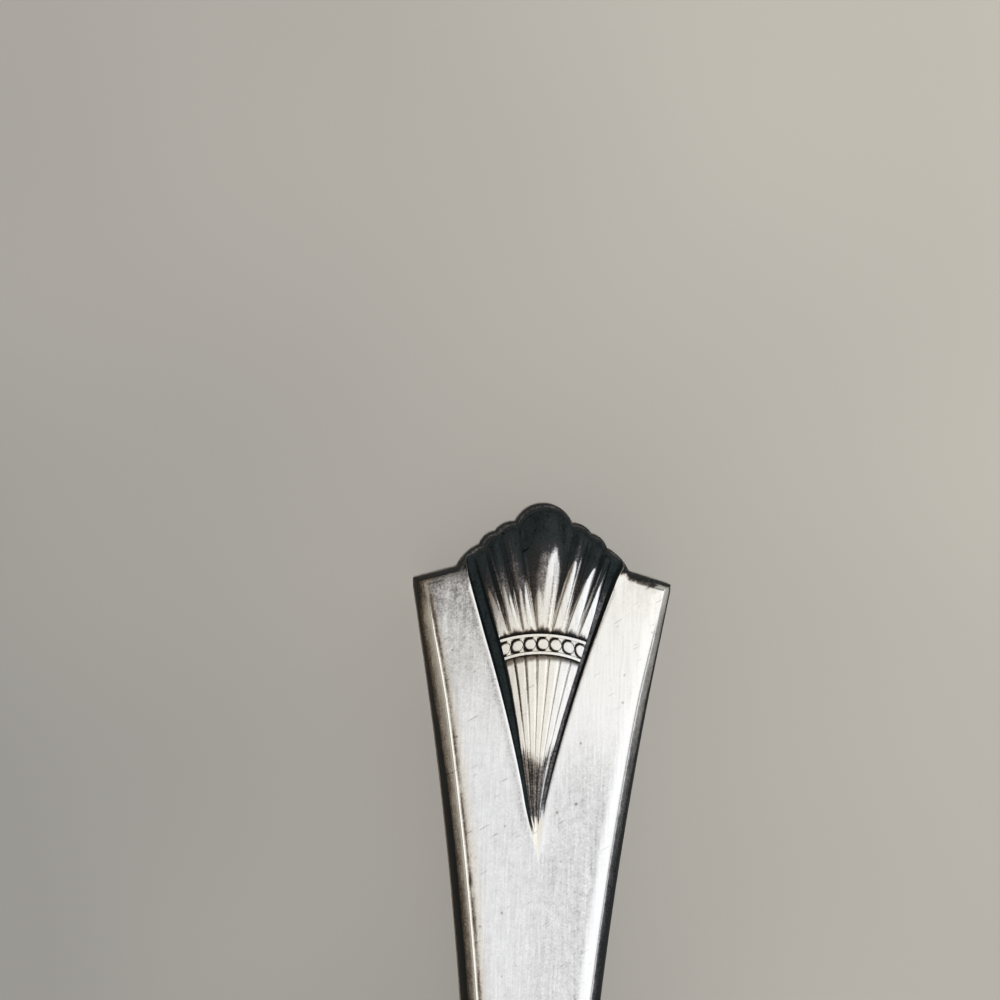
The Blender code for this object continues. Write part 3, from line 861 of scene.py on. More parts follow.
@dataclass(frozen=True)
class PlateWearAndShade:
    """How a half shell's plate has gone black and brown, where a cloth has rubbed it clean, and where shade
    and highlights are painted into it.

    The left arm is painted dimmer than the right arm and the right rolled edge darker than the left, as
    painted shade, and the pale streaks on the flutes and the clean strips beside the arrises and the vee are
    painted highlights. Values run from
    0, clean, to 1, black or brown.
    """

    shell: HandleShell
    seed: int = 11
    reed_lanes: tuple[float, ...] = (-2.5, -1.5, -0.5, 0.5, 1.5, 2.5)
    reed_lines: tuple[float, ...] = (0.76, 0.55, 0.42, 0.15, 0.17, 0.32)
    tip_lanes: tuple[float, ...] = (-3.5, -2.2, -1.0, -0.6, -0.1, 0.1, 0.6, 1.5, 2.4, 3.5)
    tip_ends: tuple[float, ...] = (0.50, 0.47, 0.46, 0.38, 0.39, 0.41, 0.39, 0.42, 0.47, 0.50)
    seen_length: float = 26.0

    def strands(self, place: Array, pitch: float) -> Array:
        """Uneven wear along a coordinate: seeded random numbers, one each pitch, joined by lines."""
        knots = np.arange(place.min(), place.max() + pitch, pitch)
        return np.interp(place, knots, np.random.default_rng(self.seed).normal(size=len(knots)))

    def highlight_streak(self, highlight: RubbedHighlight, signed: Array, up: Array) -> Array:
        """How far one pale streak, a painted highlight on rubbed plate, clears the black: its sides bow in to
        the tip and are soft for a little way.

        Args:
            highlight: the streak.
            signed: signed lane of each column.
            up: how far up the fan each point lies.

        Returns:
            How far each point is rubbed clean and painted bright, 0 to 1.
        """
        rise = unit(up / highlight.height)
        half = highlight.half_width * (1 - rise) ** 0.42
        away = np.abs(signed - mix(highlight.foot, highlight.tip, rise**2)) - half
        return highlight.strength * (1 - smooth(away / 0.10 + 0.3)) * (1 - smooth(up, highlight.height, 0.06))

    def band(self, at: ShellGrid) -> Array:
        """How black the band is: a black crescent round the left of each bead, thickest on the left, painted
        shade on the beads' sides away from the light over tarnish round their feet.

        Args:
            at: the shell's grid.

        Returns:
            How black each point is, 0 to 1.
        """
        shell = self.shell
        from_edge, across, along = shell.band_places(at)
        from_bead = np.hypot(across, along) / shell.bead_radius
        to_right = across * np.sign(at.signed) / (shell.bead_radius * np.maximum(from_bead, 0.01))
        thick = mix(0.28, 0.15, smooth(at.signed, -2, 5))
        # Painted shade: the crescent darkens the side of each bead turned from the light, over the tarnish
        # round it.
        crescent = 0.95 * bump_at(from_bead - 1.0, thick) * (1 - smooth(to_right, 0.15, 0.5))
        return np.where(from_edge < shell.rail_width, 0.03, np.maximum(crescent, 0.06))

    def fan(self, at: ShellGrid) -> Array:
        """How black the fan, the band and the sheaf are.

        The flutes' backs carry pale streaks, painted highlights on rubbed plate, and the valleys, the petals'
        ends, the sheaf's tip and the band's channel are left black.

        Args:
            at: the shell's grid.

        Returns:
            How black each point is, 0 to 1.
        """
        signed, low, up = at.signed, at.low, at.up
        section = self.shell.flute_section(at.lane, at.row)
        fine = self.strands(signed, 0.12)
        coarse = self.strands(signed, 0.45)
        # The pale streaks are painted highlights on rubbed plate.
        rubbed_highlight = np.max([self.highlight_streak(highlight, signed, up + 0.012 * fine) for highlight in RUBBED_HIGHLIGHTS], axis=0)
        dark = 0.38 + 0.32 * smooth(up, 0.04, 0.34) + (0.16 + 0.04 * fine) * smooth(up, 0.45, 0.4)
        dark = dark - (0.13 + 0.03 * coarse) * section * (1 - smooth(up, 0.62, 0.25))
        top = mix(dark * smooth(up, 0, 0.07), 0.03, rubbed_highlight)

        in_flute = 2 * ((signed + 0.5) % 1 - 0.5)
        in_valley = (1 - section) ** 2
        strength = np.interp(signed, self.reed_lanes, self.reed_lines)
        line = bump_at(1 - np.abs(in_flute), 0.10 + 0.20 * strength)
        in_sheaf = strength * line * smooth(low, mix(0.60, 0.30, at.share**2), 0.3)
        valley = np.where(up > 0, in_valley * mix(0.60, 0.90, up) * (1 - 0.85 * rubbed_highlight), in_sheaf)

        strokes = np.clip(0.52 + 0.22 * coarse, 0.18, 0.95)
        tip_end = np.interp(signed, self.tip_lanes, self.tip_ends) + 0.03 * fine
        tip = np.maximum(strokes, 0.8 * np.sqrt(in_valley)) * smooth(low, tip_end, -0.13)
        ragged = np.clip(0.05 - 0.03 * in_flute**2 + 0.010 * fine, 0.012, 0.07)
        above_band = bump_at(up, ragged) * (0.5 + 0.5 * section)
        notches = 0.95 * np.where(up > 0, above_band, 0.8 * bump_at(1 - low, 0.013))
        flutes = np.maximum.reduce([valley, top, tip, notches])
        below_tip = strokes * smooth(at.row + 0.05 * coarse, 2.86, 0.14)
        parts = [at.row > Row.PETAL_END, at.row < Row.SHEAF_TIP, at.on_band]
        return np.select(parts, [0.85, below_tip, self.band(at)], flutes)

    def face(self, at: ShellGrid) -> Array:
        """How dim the flat face is: a thin film that is painted shade, most at the left arm's top and the
        lower face, and a dark line along the left arris.

        Strips beside the arrises and the vee are clean, as painted highlights, and the black of the
        shoulders' edges frays into it.

        Args:
            at: the shell's grid.

        Returns:
            How black each point is, 0 to 1.
        """
        y, right, apex_y = at.y, at.right, self.shell.apex_y
        _, to_arris, past_vee = self.shell.face_places(at)
        near_end = smooth(y, -3.6, 4.0)
        lower = smooth(y, 0, -self.seen_length)
        to_right = smooth(at.x * np.sign(at.signed), -3, 6)
        # The film is painted shade: it dims the left arm and the lower face, which the light leaves greyer
        # than the right arm.
        film_and_shade = mix(0.02, 0.0, to_right) + mix(0.20, 0.0, right) * smooth(y, -14, 14)
        film_and_shade = film_and_shade + mix(0.05, 0.16, to_right) * smooth(y, to_right - 9, -8)
        film_and_shade = film_and_shade + mix(0.10, 0.04, right) * near_end
        # A dark line just inside the arris, strong on the left and faint on the right.
        arris_line = mix(mix(0.38, 0.56, lower), 0.05, right) * smooth(y, 2, -6)
        patchy = np.clip(0.8 + 0.22 * self.strands(y, 0.5), 0.35, 1.4)
        film_and_shade = film_and_shade + arris_line * patchy * bump_at(to_arris - 0.21, 0.13)
        beside_vee = (1 - right) * smooth(y, apex_y, 3) * bump_at(past_vee - 0.36, 0.25)
        film_and_shade = film_and_shade + mix(0.03, 0.13, smooth(y, -1, -9)) * beside_vee
        # Painted highlights: clean strips along the arrises, beside the right arris and at the vee's edge.
        beside_arris = right * (1 - smooth(to_arris, mix(0.44, 0.74, lower), 0.3)) * (1 - near_end)
        at_vee = bump_at(past_vee, mix(0.14, 0.5, right))
        clean_highlight_strips = np.maximum.reduce([bump_at(to_arris, 0.09), beside_arris, at_vee])
        off_highlights = 1 - clean_highlight_strips * np.where(y > apex_y, 1, to_arris < 1)
        film_and_shade = film_and_shade * np.where(at.lane < Lane.VEE, smooth(y, apex_y, -0.6), off_highlights)
        frayed = 0.12 * self.strands(at.signed, 0.07) + right * smooth(at.lane, Lane.CORNER, 0.15)
        film_and_shade = np.maximum(film_and_shade, mix(0.30, 0.62, right) * smooth(at.row, 6.8 + frayed, 0.2))
        return np.maximum(film_and_shade, 0.95 * smooth(y, 1.25, 0.3) * (at.lane < Lane.ARRIS))

    def edge(self, at: ShellGrid) -> Array:
        """How black the rolled edge is: grey, then a black line, then rubbed again beside the seam. The black
        line, the darker right side and the dark roll round the fan are tarnish with painted shade, the dark
        reflection on the steep edge.

        Args:
            at: the shell's grid.

        Returns:
            How black each point is, 0 to 1.
        """
        lane, y, right = at.lane, at.y, at.right
        lower = smooth(y, 0, -self.seen_length)
        rolled = unit(lane - Lane.ARRIS)
        # The black line and the darker right side are tarnish with painted shade, standing in for the steep
        # edge's dark reflection.
        black_from = mix(0.68 - 0.36 * smooth(y, 0, -17), 0.38 - 0.08 * lower, right)
        left_side = 0.03 + (0.20 * lower + rolled - 0.06) * smooth(rolled, 0.03, 0.1)
        left_side = left_side + 0.24 * smooth(y, -2, 1.6)
        right_side = 0.20 + 0.30 * lower + 0.5 * rolled * lower
        right_side = right_side * (1 - (1 - smooth(rolled, 0.2, 0.2)) * smooth(y, -1.6, 1.2))
        side = mix(left_side, right_side, right) * smooth(rolled, 0, 0.05)
        side = side + 0.9 * smooth(rolled, black_from, 0.24)
        side = np.minimum(side, mix(1.0, 0.34, smooth(y, -31, -30)))
        side = mix(side, 0.30, smooth(rolled, 0.78, 0.14))
        side = np.where(lane > Lane.ARRIS, side, 0.0)

        # The dark end roll round the fan is tarnish with painted shade, standing in for its dark reflection.
        end_roll = unit(at.row - Row.LEDGE)
        lobes = 0.46 + 0.36 * bump_at(end_roll, 0.10) + 0.05 * self.strands(at.signed, 0.12)
        left_arm = 0.34 + 0.4 * smooth(end_roll, 0.15, 0.3)
        arms = mix(left_arm, 0.62 + 0.08 * self.strands(at.signed, 0.07), right)
        corner = right * smooth(lane, Lane.CORNER, 0.15) * (1 - smooth(end_roll, 0.2, 0.2))
        arms = arms * (1 - 0.8 * corner)
        on_arm = smooth(lane, Lane.VEE, Lane.FOOT - Lane.VEE)
        end = mix(lobes, arms, on_arm) + 0.5 * smooth(end_roll, 0.38, 0.3)
        end = mix(end, 0.34, smooth(end_roll, 0.78, 0.16))
        return np.where(at.row > Row.LEDGE, np.maximum(end, side), side)

    def tarnish(self, at: ShellGrid) -> Array:
        """How black the plate has gone, with the painted shade and highlights of the parts above: most in the
        groove, the valleys, the fan's top and the rim.

        Args:
            at: the shell's grid.

        Returns:
            How black each point is, 0 to 1.
        """
        lane, y, apex_y = at.lane, at.y, self.shell.apex_y
        fan = self.fan(at)
        across = lane - Lane.FAN
        black = mix(0.87, mix(0.54, 0.85, smooth(y, -1.5, 3)), at.right)
        in_groove = smooth(across, -0.05, 0.12) * (1 - smooth(across, 0.93, 0.07))
        in_groove = black * in_groove * smooth(y, apex_y + mix(1.4, 2.8, at.right), 1.2)
        groove = np.maximum(in_groove, fan * (1 - smooth(across, 0, 0.15)))
        in_vee = (lane <= Lane.VEE) & (y >= apex_y)
        parts = [(lane > Lane.ARRIS) | (at.row > Row.LEDGE), in_vee & (lane <= Lane.FAN), in_vee]
        return np.select(parts, [self.edge(at), fan, groove], self.face(at))

    def browning(self, at: ShellGrid) -> Array:
        """How brown the film is: most on the left rolled edge, where it is partly a painted brown reflection,
        and low in the fan, none on the right.

        Args:
            at: the shell's grid.

        Returns:
            How brown each point is, 0 to 1.
        """
        shell, lane, row, y = self.shell, at.lane, at.row, at.y
        fan = mix(1.0, 0.30, smooth(row, Row.BAND_TOP, 0.8)) * mix(1.0, 0.35, smooth(at.signed, 0.5, 2))
        fan = fan * mix(0.6, 1.0, smooth(row, Row.SHEAF_TIP, 0.5))
        arm = mix(mix(0.45, 0.75, at.right), 0.15, smooth(y, 0, -16))
        on_facet = (lane < Lane.VEE) & (y < shell.apex_y + shell.sheaf_above_apex)
        parts = [row > Row.LEDGE, y < shell.apex_y, on_facet, lane < Lane.FAN, lane < Lane.VEE]
        inside = np.select(parts, [0.1, arm, 1.0, fan, 0.1], arm)
        # The brown on the left rolled edge is partly a painted reflection of the brown surroundings on that
        # side.
        return np.maximum(inside * (lane < Lane.ARRIS), (at.signed < 0) * smooth(lane, 5.2, 0.25))


@dataclass(frozen=True)
class SeamLine:
    """The line of solder between the two shells, which stands a hair proud of their rims."""

    shell: HandleShell
    proud: float = 0.03

    def surface(self) -> Surface:
        """A five-sided section carried round the rim: flat inside and between the rims, peaked outside.

        Returns:
            The closed surface.
        """
        outer, inner = self.shell.rim_loop()
        out = (outer - inner) / np.linalg.norm(outer - inner, axis=1)[:, None]
        half = self.shell.form.rim_z * np.ones((len(outer), 1))
        peak = outer + out * self.proud
        corners = ((inner, half), (outer, half), (peak, 0 * half), (outer, -half), (inner, -half))
        return Surface.tube(np.stack([np.hstack(corner) for corner in corners], 1), capped=True)


def superellipse(
    angle: Array,
    y: Array,
    middle_x: Array,
    half_x: Array,
    edge_half_z: Array,
    spine_half_z: Array,
    squareness: Array,
) -> Array:
    """Rings round Y whose thickness runs from the edge side, -X, to the spine side, +X.

    X is the angle's cosine and Z its sine, each to the power of 2 over the squareness with its sign kept.

    Args:
        angle: places round a ring.
        y: height of each ring.
        middle_x: middle of each ring.
        half_x: half its width.
        edge_half_z: half its thickness at the edge side.
        spine_half_z: half its thickness at the spine side.
        squareness: 2 is an ellipse, and more is boxier.

    Returns:
        Points, with the rings' own dimensions first, then places round the ring, then 3.
    """
    parts = (y, middle_x, half_x, edge_half_z, spine_half_z, squareness)
    columns = [np.asarray(part)[..., None] for part in parts]
    y, middle_x, half_x, edge_half_z, spine_half_z, squareness = columns
    x, z = (np.sign(wave) * np.abs(wave) ** (2 / squareness) for wave in (np.cos(angle), np.sin(angle)))
    thick = mix(edge_half_z, spine_half_z, (x + 1) / 2)
    return np.stack(np.broadcast_arrays(middle_x + half_x * x, y, thick * z), -1)


@dataclass(frozen=True)
class MouthCollar:
    """The ferrule: a rounded flange outside the mouth, a spigot inside the shells and a slot for the tang."""

    form: HandleForm
    flange_steps: int = 17
    lip: float = 0.25
    spigot: float = 3.0
    fit_gap: float = 0.3
    tang_half: Pair = (1.8, 1.1)
    slot_squareness: float = 5.0
    quarter_points: int = 28

    def handle_ring(self, inset: float, y: float) -> Array:
        """The handle's section at its mouth drawn in by inset: the rolled edge, then the flat face.

        Args:
            inset: how far the section is drawn in.
            y: height of the ring.

        Returns:
            Points round the ring.
        """
        form = self.form
        share = np.arange(self.quarter_points) / self.quarter_points
        angle = form.edge_sweep * np.minimum(1.0, share * 2)
        edge_x = form.mouth_width / 2 - inset - form.roll_inset(angle)
        x = edge_x * np.where(share > 0.5, 2 - share * 2, 1.0)
        z = (form.mouth_thickness / 2 - inset) * np.sin(angle) / math.sin(form.edge_sweep)
        back_x = np.append(0.0, x[:0:-1])
        back_z = np.append(z[-1], z[:0:-1])
        turned_x = np.concatenate([x, -back_x, -x, back_x])
        return np.stack([turned_x, np.full_like(turned_x, y), np.concatenate([z, back_z, -z, -back_z])], 1)

    def slot_ring(self, y: float) -> Array:
        """The tang's slot: a superellipse one fit gap larger than the tang.

        Args:
            y: height of the ring.

        Returns:
            Points round the ring.
        """
        angle = np.pi / 2 * np.arange(4 * self.quarter_points) / self.quarter_points
        half_x, half_z = (half + self.fit_gap for half in self.tang_half)
        return superellipse(angle, y, 0.0, half_x, half_z, half_z, self.slot_squareness)

    def surface(self) -> Surface:
        """Rings from the slot's lower end over the flange, up the spigot and back down through the slot.

        The flange is cleanest in its middle and blackens to both its edges.

        Returns:
            The closed and painted surface.
        """
        form = self.form
        bottom, top = form.ferrule_y, form.mouth_y + self.spigot
        inset = form.wall + self.fit_gap
        flange = []
        for turn in np.linspace(0, np.pi, self.flange_steps):
            y = bottom + form.flange * (1 - math.cos(turn)) / 2
            flange.append(self.handle_ring(-self.lip * math.sin(turn) ** 0.6, y))
        spigot = [self.handle_ring(inset, form.mouth_y), self.handle_ring(inset, top)]
        rings = [self.slot_ring(bottom), *flange, *spigot, self.slot_ring(top)]
        collar = Surface.tube(np.stack(rings[::-1]), capped=False)
        from_middle = np.abs(collar.points[:, 1] - bottom - form.flange / 2) / (form.flange / 2)
        collar.paint["tarnish"] = 0.12 + 0.60 * smooth(from_middle, 0.55, 0.45)
        return collar


@dataclass(frozen=True)
class ForgedBlade:
    """The forging: a notched tang in the handle, a bolster against the ferrule and the blade."""

    form: HandleForm
    tang_length: float = 38.0
    tang_width: float = 3.6
    tang_tip_width: float = 2.6
    tang_thickness: float = 2.2
    tang_tip_thickness: float = 1.4
    notches: int = 3
    notch_depth: float = 0.45
    notch_length: float = 2.4
    notch_pitch: float = 9.5
    first_notch: float = 6.6
    bolster_length: float = 9.0
    collar_length: float = 2.4
    collar_foot: float = 0.86
    waist_width: float = 6.0
    waist_thickness: float = 3.6
    blade_length: float = 68.0
    spine_reach: float = 6.2
    edge_reach: float = 9.2
    tip_offset: float = 0.8
    spine_ease: float = 16.3
    edge_ease: float = 34.0
    spine_round: float = 12.2
    edge_round: float = 25.8
    tip_round: float = 0.8
    thinning: float = 13.6
    spine_thickness: float = 1.6
    tip_thickness: float = 1.0
    edge_thickness: float = 0.6
    tang_squareness: float = 5.0
    collar_squareness: float = 3.2
    waist_squareness: float = 2.6
    blade_squareness: float = 7.0
    ring_points: int = 112
    tang_steps: int = 96
    collar_steps: int = 22
    waist_steps: int = 26
    blade_steps: int = 150
    last_step: float = 0.9985

    @property
    def root_y(self) -> float:
        """Place where the bolster ends and the blade starts."""
        return self.form.ferrule_y - self.bolster_length

    def tang_rings(self, angle: Array) -> Array:
        """Rings down the tang: a straight taper with notches in its sides, each eased in and out.

        Args:
            angle: places round a ring.

        Returns:
            Points, rings by places round a ring by 3.
        """
        down = np.linspace(0, self.tang_length, self.tang_steps)
        middles = self.first_notch + self.notch_pitch * np.arange(self.notches)
        away = np.abs(down[:, None] - middles).min(1)
        notch = self.notch_depth * smooth(away, self.notch_length / 2, -self.notch_length / 3)
        share = down / self.tang_length
        half_x = mix(self.tang_tip_width, self.tang_width, share) / 2 - notch
        half_z = mix(self.tang_tip_thickness, self.tang_thickness, share) / 2
        y = self.form.ferrule_y + self.tang_length - down
        return superellipse(angle, y, 0.0, half_x, half_z, half_z, self.tang_squareness)

    def bolster_rings(self, angle: Array) -> Array:
        """Rings down the bolster: a collar rounded like half a bead, then an eased waist.

        Args:
            angle: places round a ring.

        Returns:
            Points, rings by places round a ring by 3.
        """
        turn = np.linspace(0, np.pi, self.collar_steps)
        size = self.collar_foot + (1 - self.collar_foot) * np.sin(turn) ** 0.7
        share = np.linspace(0, 1, self.waist_steps)[1:]
        collar_y = self.form.ferrule_y - self.collar_length * (1 - np.cos(turn)) / 2
        y = np.concatenate([collar_y, mix(self.form.ferrule_y - self.collar_length, self.root_y, share)])
        widths = (self.form.mouth_width, self.waist_width)
        thicknesses = (self.form.mouth_thickness, self.waist_thickness)
        half_x, half_z = (
            np.concatenate([mouth / 2 * size, mix(mouth * self.collar_foot, waist, smooth(share)) / 2])
            for mouth, waist in (widths, thicknesses)
        )
        waist_squareness = mix(self.collar_squareness, self.waist_squareness, share)
        squareness = np.concatenate([np.full_like(turn, self.collar_squareness), waist_squareness])
        return superellipse(angle, y, 0.0, half_x, half_z, half_z, squareness)

    def blade_rings(self, angle: Array) -> Array:
        """Rings down the blade: both sides ease out from the bolster and round off on ellipses to the tip.

        Args:
            angle: places round a ring.

        Returns:
            Points, rings by places round a ring by 3.
        """
        down = self.blade_length * np.sin(np.pi / 2 * np.linspace(0, self.last_step, self.blade_steps)[1:])
        to_tip = self.blade_length - down
        waist = self.waist_width / 2
        spine = mix(waist, self.spine_reach, smooth(down, 0, self.spine_ease))
        edge = -mix(waist, self.edge_reach, smooth(down, 0, self.edge_ease))
        spine = mix(self.tip_offset, spine, ellipse_end(to_tip / self.spine_round))
        edge = mix(self.tip_offset, edge, ellipse_end(to_tip / self.edge_round))
        thinned = smooth(down, 0, self.thinning)
        spine_z = mix(self.spine_thickness, self.tip_thickness, down / self.blade_length) / 2
        round_tip = ellipse_end(to_tip / self.tip_round)
        return superellipse(
            angle,
            self.root_y - down,
            (spine + edge) / 2,
            (spine - edge) / 2,
            mix(self.waist_thickness, self.edge_thickness, thinned) / 2 * round_tip,
            mix(self.waist_thickness / 2, spine_z, thinned) * round_tip,
            mix(self.waist_squareness, self.blade_squareness, thinned),
        )

    def surface(self) -> Surface:
        """One closed tube through all the rings, from the tang's end to the blade's tip.

        Returns:
            The closed surface.
        """
        angle = 2 * np.pi * np.arange(self.ring_points) / self.ring_points
        rings = [self.tang_rings(angle), self.bolster_rings(angle), self.blade_rings(angle)]
        return Surface.tube(np.concatenate(rings), capped=True)


# Finishes

Socket = bpy.types.NodeSocket
Tree = bpy.types.NodeTree
ADD = {"operation": "ADD"}
SCALE_AND_ADD = {"operation": "MULTIPLY_ADD"}
CLAMPED_ADD = {"operation": "ADD", "use_clamp": True}
COLOUR_MIX = {"data_type": "RGBA"}


def add_node(
    tree: Tree,
    kind: str,
    inputs: dict | tuple = (),
    settings: dict | None = None,
    stops: list[tuple[float, str]] | None = None,
    out: int | str = 0,
) -> Socket:
    """Adds one node to a material.

    Args:
        tree: the material's node tree.
        kind: the node's type, without its leading ShaderNode.
        inputs: constants or outputs that feed its inputs, in order or by name or number.
        settings: values for the node's own properties.
        stops: places and hex colours of a colour ramp.
        out: name or number of the output that is wanted.

    Returns:
        That output.
    """
    node = tree.nodes.new("ShaderNode" + kind)
    for name, value in (settings or {}).items():
        setattr(node, name, value)
    for socket, value in inputs.items() if isinstance(inputs, dict) else enumerate(inputs):
        if isinstance(value, Socket):
            tree.links.new(value, node.inputs[socket])
        else:
            node.inputs[socket].default_value = value
    for number, (place, colour) in enumerate(stops or []):
        elements = node.color_ramp.elements
        element = elements[number] if number < 2 else elements.new(place)
        element.position = place
        element.color = linear(colour)
    return node.outputs[out]


def per_mm(*spacing: float) -> tuple[float, ...]:
    """Pattern scales, in repeats per metre, for spacings in millimetres."""
    return tuple(1 / (size * MM) for size in spacing)


@dataclass(frozen=True)
class Finish:
    """A surface finish on a Principled shader. Subclasses draw its patterns."""

    name: str
    roughness: float
    metallic: float

    def patterns(self, tree: Tree, place: Socket) -> dict[str, Socket]:
        """Draws the patterns at a place and gives each by the shader socket that it feeds."""
        raise NotImplementedError

    def build(self) -> bpy.types.Material:
        """Makes the material and links its patterns.

        Returns:
            The material.
        """
        material = bpy.data.materials.new(self.name)
        material.use_nodes = True
        tree = material.node_tree
        shader = tree.nodes["Principled BSDF"]
        shader.inputs["Metallic"].default_value = self.metallic
        shader.inputs["Roughness"].default_value = self.roughness
        place = add_node(tree, "TexCoord", out="Object")
        for socket, pattern in self.patterns(tree, place).items():
            tree.links.new(pattern, shader.inputs[socket])
        return material


class Grain(NamedTuple):
    """A noise that breaks up the tarnish: its spots' size along X, Y and Z, its detail and its gain."""

    size: Triple
    detail: float
    gain: float


@dataclass(frozen=True)
class SilverPlate(Finish):
    """Silver plate on nickel silver: struck, polished along its length, then worn and left to blacken.

    Rubbed faces stay pale with fine lengthwise lines and a few pits, and sulphide turns what a cloth
    doesn't reach warm grey, then black and dull. Real polishing lines and hair scratches are too fine to
    show in the render, so they are drawn as coarse as they need to show.
    """

    name: str = "silver_plate_polished_worn"
    roughness: float = 0.26
    metallic: float = 1.0
    places: tuple[float, ...] = (0.0, 0.10, 0.20, 0.42, 0.66, 0.84, 1.0)
    grey: tuple[str, ...] = ("#F4F4F4", "#E8E8E7", "#D8D8D7", "#88898C", "#404247", "#323A3B", "#131617")
    brown: tuple[str, ...] = ("#F8F3E7", "#EEE7D9", "#DBD4C7", "#93877B", "#463F37", "#2F322F", "#0E1110")
    mottle: Grain = Grain((0.7, 0.7, 0.7), 5.0, 0.20)
    speck: Grain = Grain((0.14, 0.14, 0.14), 2.0, 0.36)
    line: Grain = Grain((0.16, 3.0, 0.16), 2.0, 0.16)
    sweep: Grain = Grain((0.7, 9.0, 0.7), 2.0, 0.16)
    scratch: Triple = (0.14, 1.6, 1.6)
    scratch_angle: float = math.radians(58.0)
    pit_spacing: float = 1.6
    black_roughness: float = 0.55
    black_metallic: float = 0.35

    def marks(self, tree: Tree, place: Socket) -> Socket:
        """Draws a few round pits and slanted hair scratches.

        Args:
            tree: the material's node tree.
            place: the coordinates that the patterns lie on.

        Returns:
            The marks, 0 to 1.
        """
        (scale,) = per_mm(self.pit_spacing)
        cells = add_node(tree, "TexVoronoi", {"Vector": place, "Scale": scale}, out="Distance")
        pits = add_node(tree, "MapRange", (cells, 0.09, 0.03, 0.0, 1.0))
        slanted = add_node(tree, "Mapping", {0: place, 2: (0, 0, self.scratch_angle)})
        drawn = add_node(tree, "Mapping", {0: slanted, 3: per_mm(*self.scratch)})
        hairs = add_node(tree, "TexNoise", {"Vector": drawn, "Scale": 1.0, "Detail": 1.0})
        scratches = add_node(tree, "MapRange", (hairs, 0.72, 0.76, 0.0, 0.82))
        return add_node(tree, "Math", (pits, scratches), {"operation": "MAXIMUM"})

    def patterns(self, tree: Tree, place: Socket) -> dict[str, Socket]:
        """Colours by tarnish and painted shade broken up with noise, and roughens and bumps with polishing
        lines and pits.

        The noise shifts the tarnish most where it is halfway, by tarnish times what is left of 1.

        Args:
            tree: the material's node tree.
            place: the coordinates that the patterns lie on.

        Returns:
            Each pattern by the shader socket that it feeds.
        """
        # The painted value carries tarnish with painted shade and highlights.
        painted = add_node(tree, "Attribute", settings={"attribute_name": "tarnish"}, out="Fac")
        noises = {}
        uneven = None
        for grain in (self.mottle, self.speck, self.line, self.sweep):
            stretched = add_node(tree, "Mapping", {0: place, 3: per_mm(*grain.size)})
            noise = add_node(tree, "TexNoise", {"Vector": stretched, "Scale": 1.0, "Detail": grain.detail})
            centred = add_node(tree, "Math", (noise, grain.gain, -grain.gain / 2), SCALE_AND_ADD)
            uneven = centred if uneven is None else add_node(tree, "Math", (uneven, centred), ADD)
            noises[grain] = noise
        lines = noises[self.line]
        left = add_node(tree, "Math", (1.0, painted), {"operation": "SUBTRACT", "use_clamp": True})
        half = add_node(tree, "Math", (painted, left), {"operation": "MULTIPLY"})
        gain = add_node(tree, "Math", (half, 4.8, 0.36), SCALE_AND_ADD)
        level = add_node(tree, "Math", (uneven, gain, painted), SCALE_AND_ADD)
        marks = self.marks(tree, place)
        level = add_node(tree, "Math", (marks, 0.24, level), SCALE_AND_ADD)
        greyed, browned = (
            add_node(tree, "ValToRGB", (level,), stops=list(zip(self.places, tones)))
            for tones in (self.grey, self.brown)
        )
        warmth = add_node(tree, "Attribute", settings={"attribute_name": "browning"}, out="Fac")
        colour = add_node(tree, "Mix", {0: warmth, 6: greyed, 7: browned}, COLOUR_MIX, out=2)
        dull = add_node(tree, "MapRange", (level, 0.0, 0.9, self.roughness, self.black_roughness))
        brushed = add_node(tree, "Math", (lines, 0.16, -0.08), SCALE_AND_ADD)
        height = add_node(tree, "Math", (marks, -1.4, lines), SCALE_AND_ADD)
        return {
            "Base Color": colour,
            "Specular Tint": colour,
            "Metallic": add_node(tree, "MapRange", (level, 0.5, 1.0, self.metallic, self.black_metallic)),
            "Roughness": add_node(tree, "Math", (dull, brushed), CLAMPED_ADD),
            "Normal": add_node(tree, "Bump", {"Strength": 0.12, "Distance": 0.00003, "Height": height}),
        }


@dataclass(frozen=True)
class StainlessSteel(Finish):
    """Stainless steel, forged, ground and glazed along the blade: fine lines and a cool, even grey.

    Real glazing lines are too fine to show in the render, so they are drawn as coarse as they need to show.
    """

    name: str = "stainless_steel_glazed"
    roughness: float = 0.24
    metallic: float = 1.0
    colours: tuple[str, str] = ("#B4B5B4", "#D2D2CF")
    line: Triple = (0.2, 6.0, 0.2)

    def patterns(self, tree: Tree, place: Socket) -> dict[str, Socket]:
        """Draws the grinding lines into the colour, the gloss and the bump.

        Args:
            tree: the material's node tree.
            place: the coordinates that the patterns lie on.

        Returns:
            Each pattern by the shader socket that it feeds.
        """
        stretched = add_node(tree, "Mapping", {0: place, 3: per_mm(*self.line)})
        lines = add_node(tree, "TexNoise", {"Vector": stretched, "Scale": 1.0, "Detail": 4.0})
        gloss = (lines, 0.0, 1.0, self.roughness - 0.06, self.roughness + 0.08)
        return {
            "Base Color": add_node(tree, "ValToRGB", (lines,), stops=list(zip((0.3, 0.7), self.colours))),
            "Roughness": add_node(tree, "MapRange", gloss),
            "Normal": add_node(tree, "Bump", {"Strength": 0.12, "Distance": 0.00003, "Height": lines}),
        }


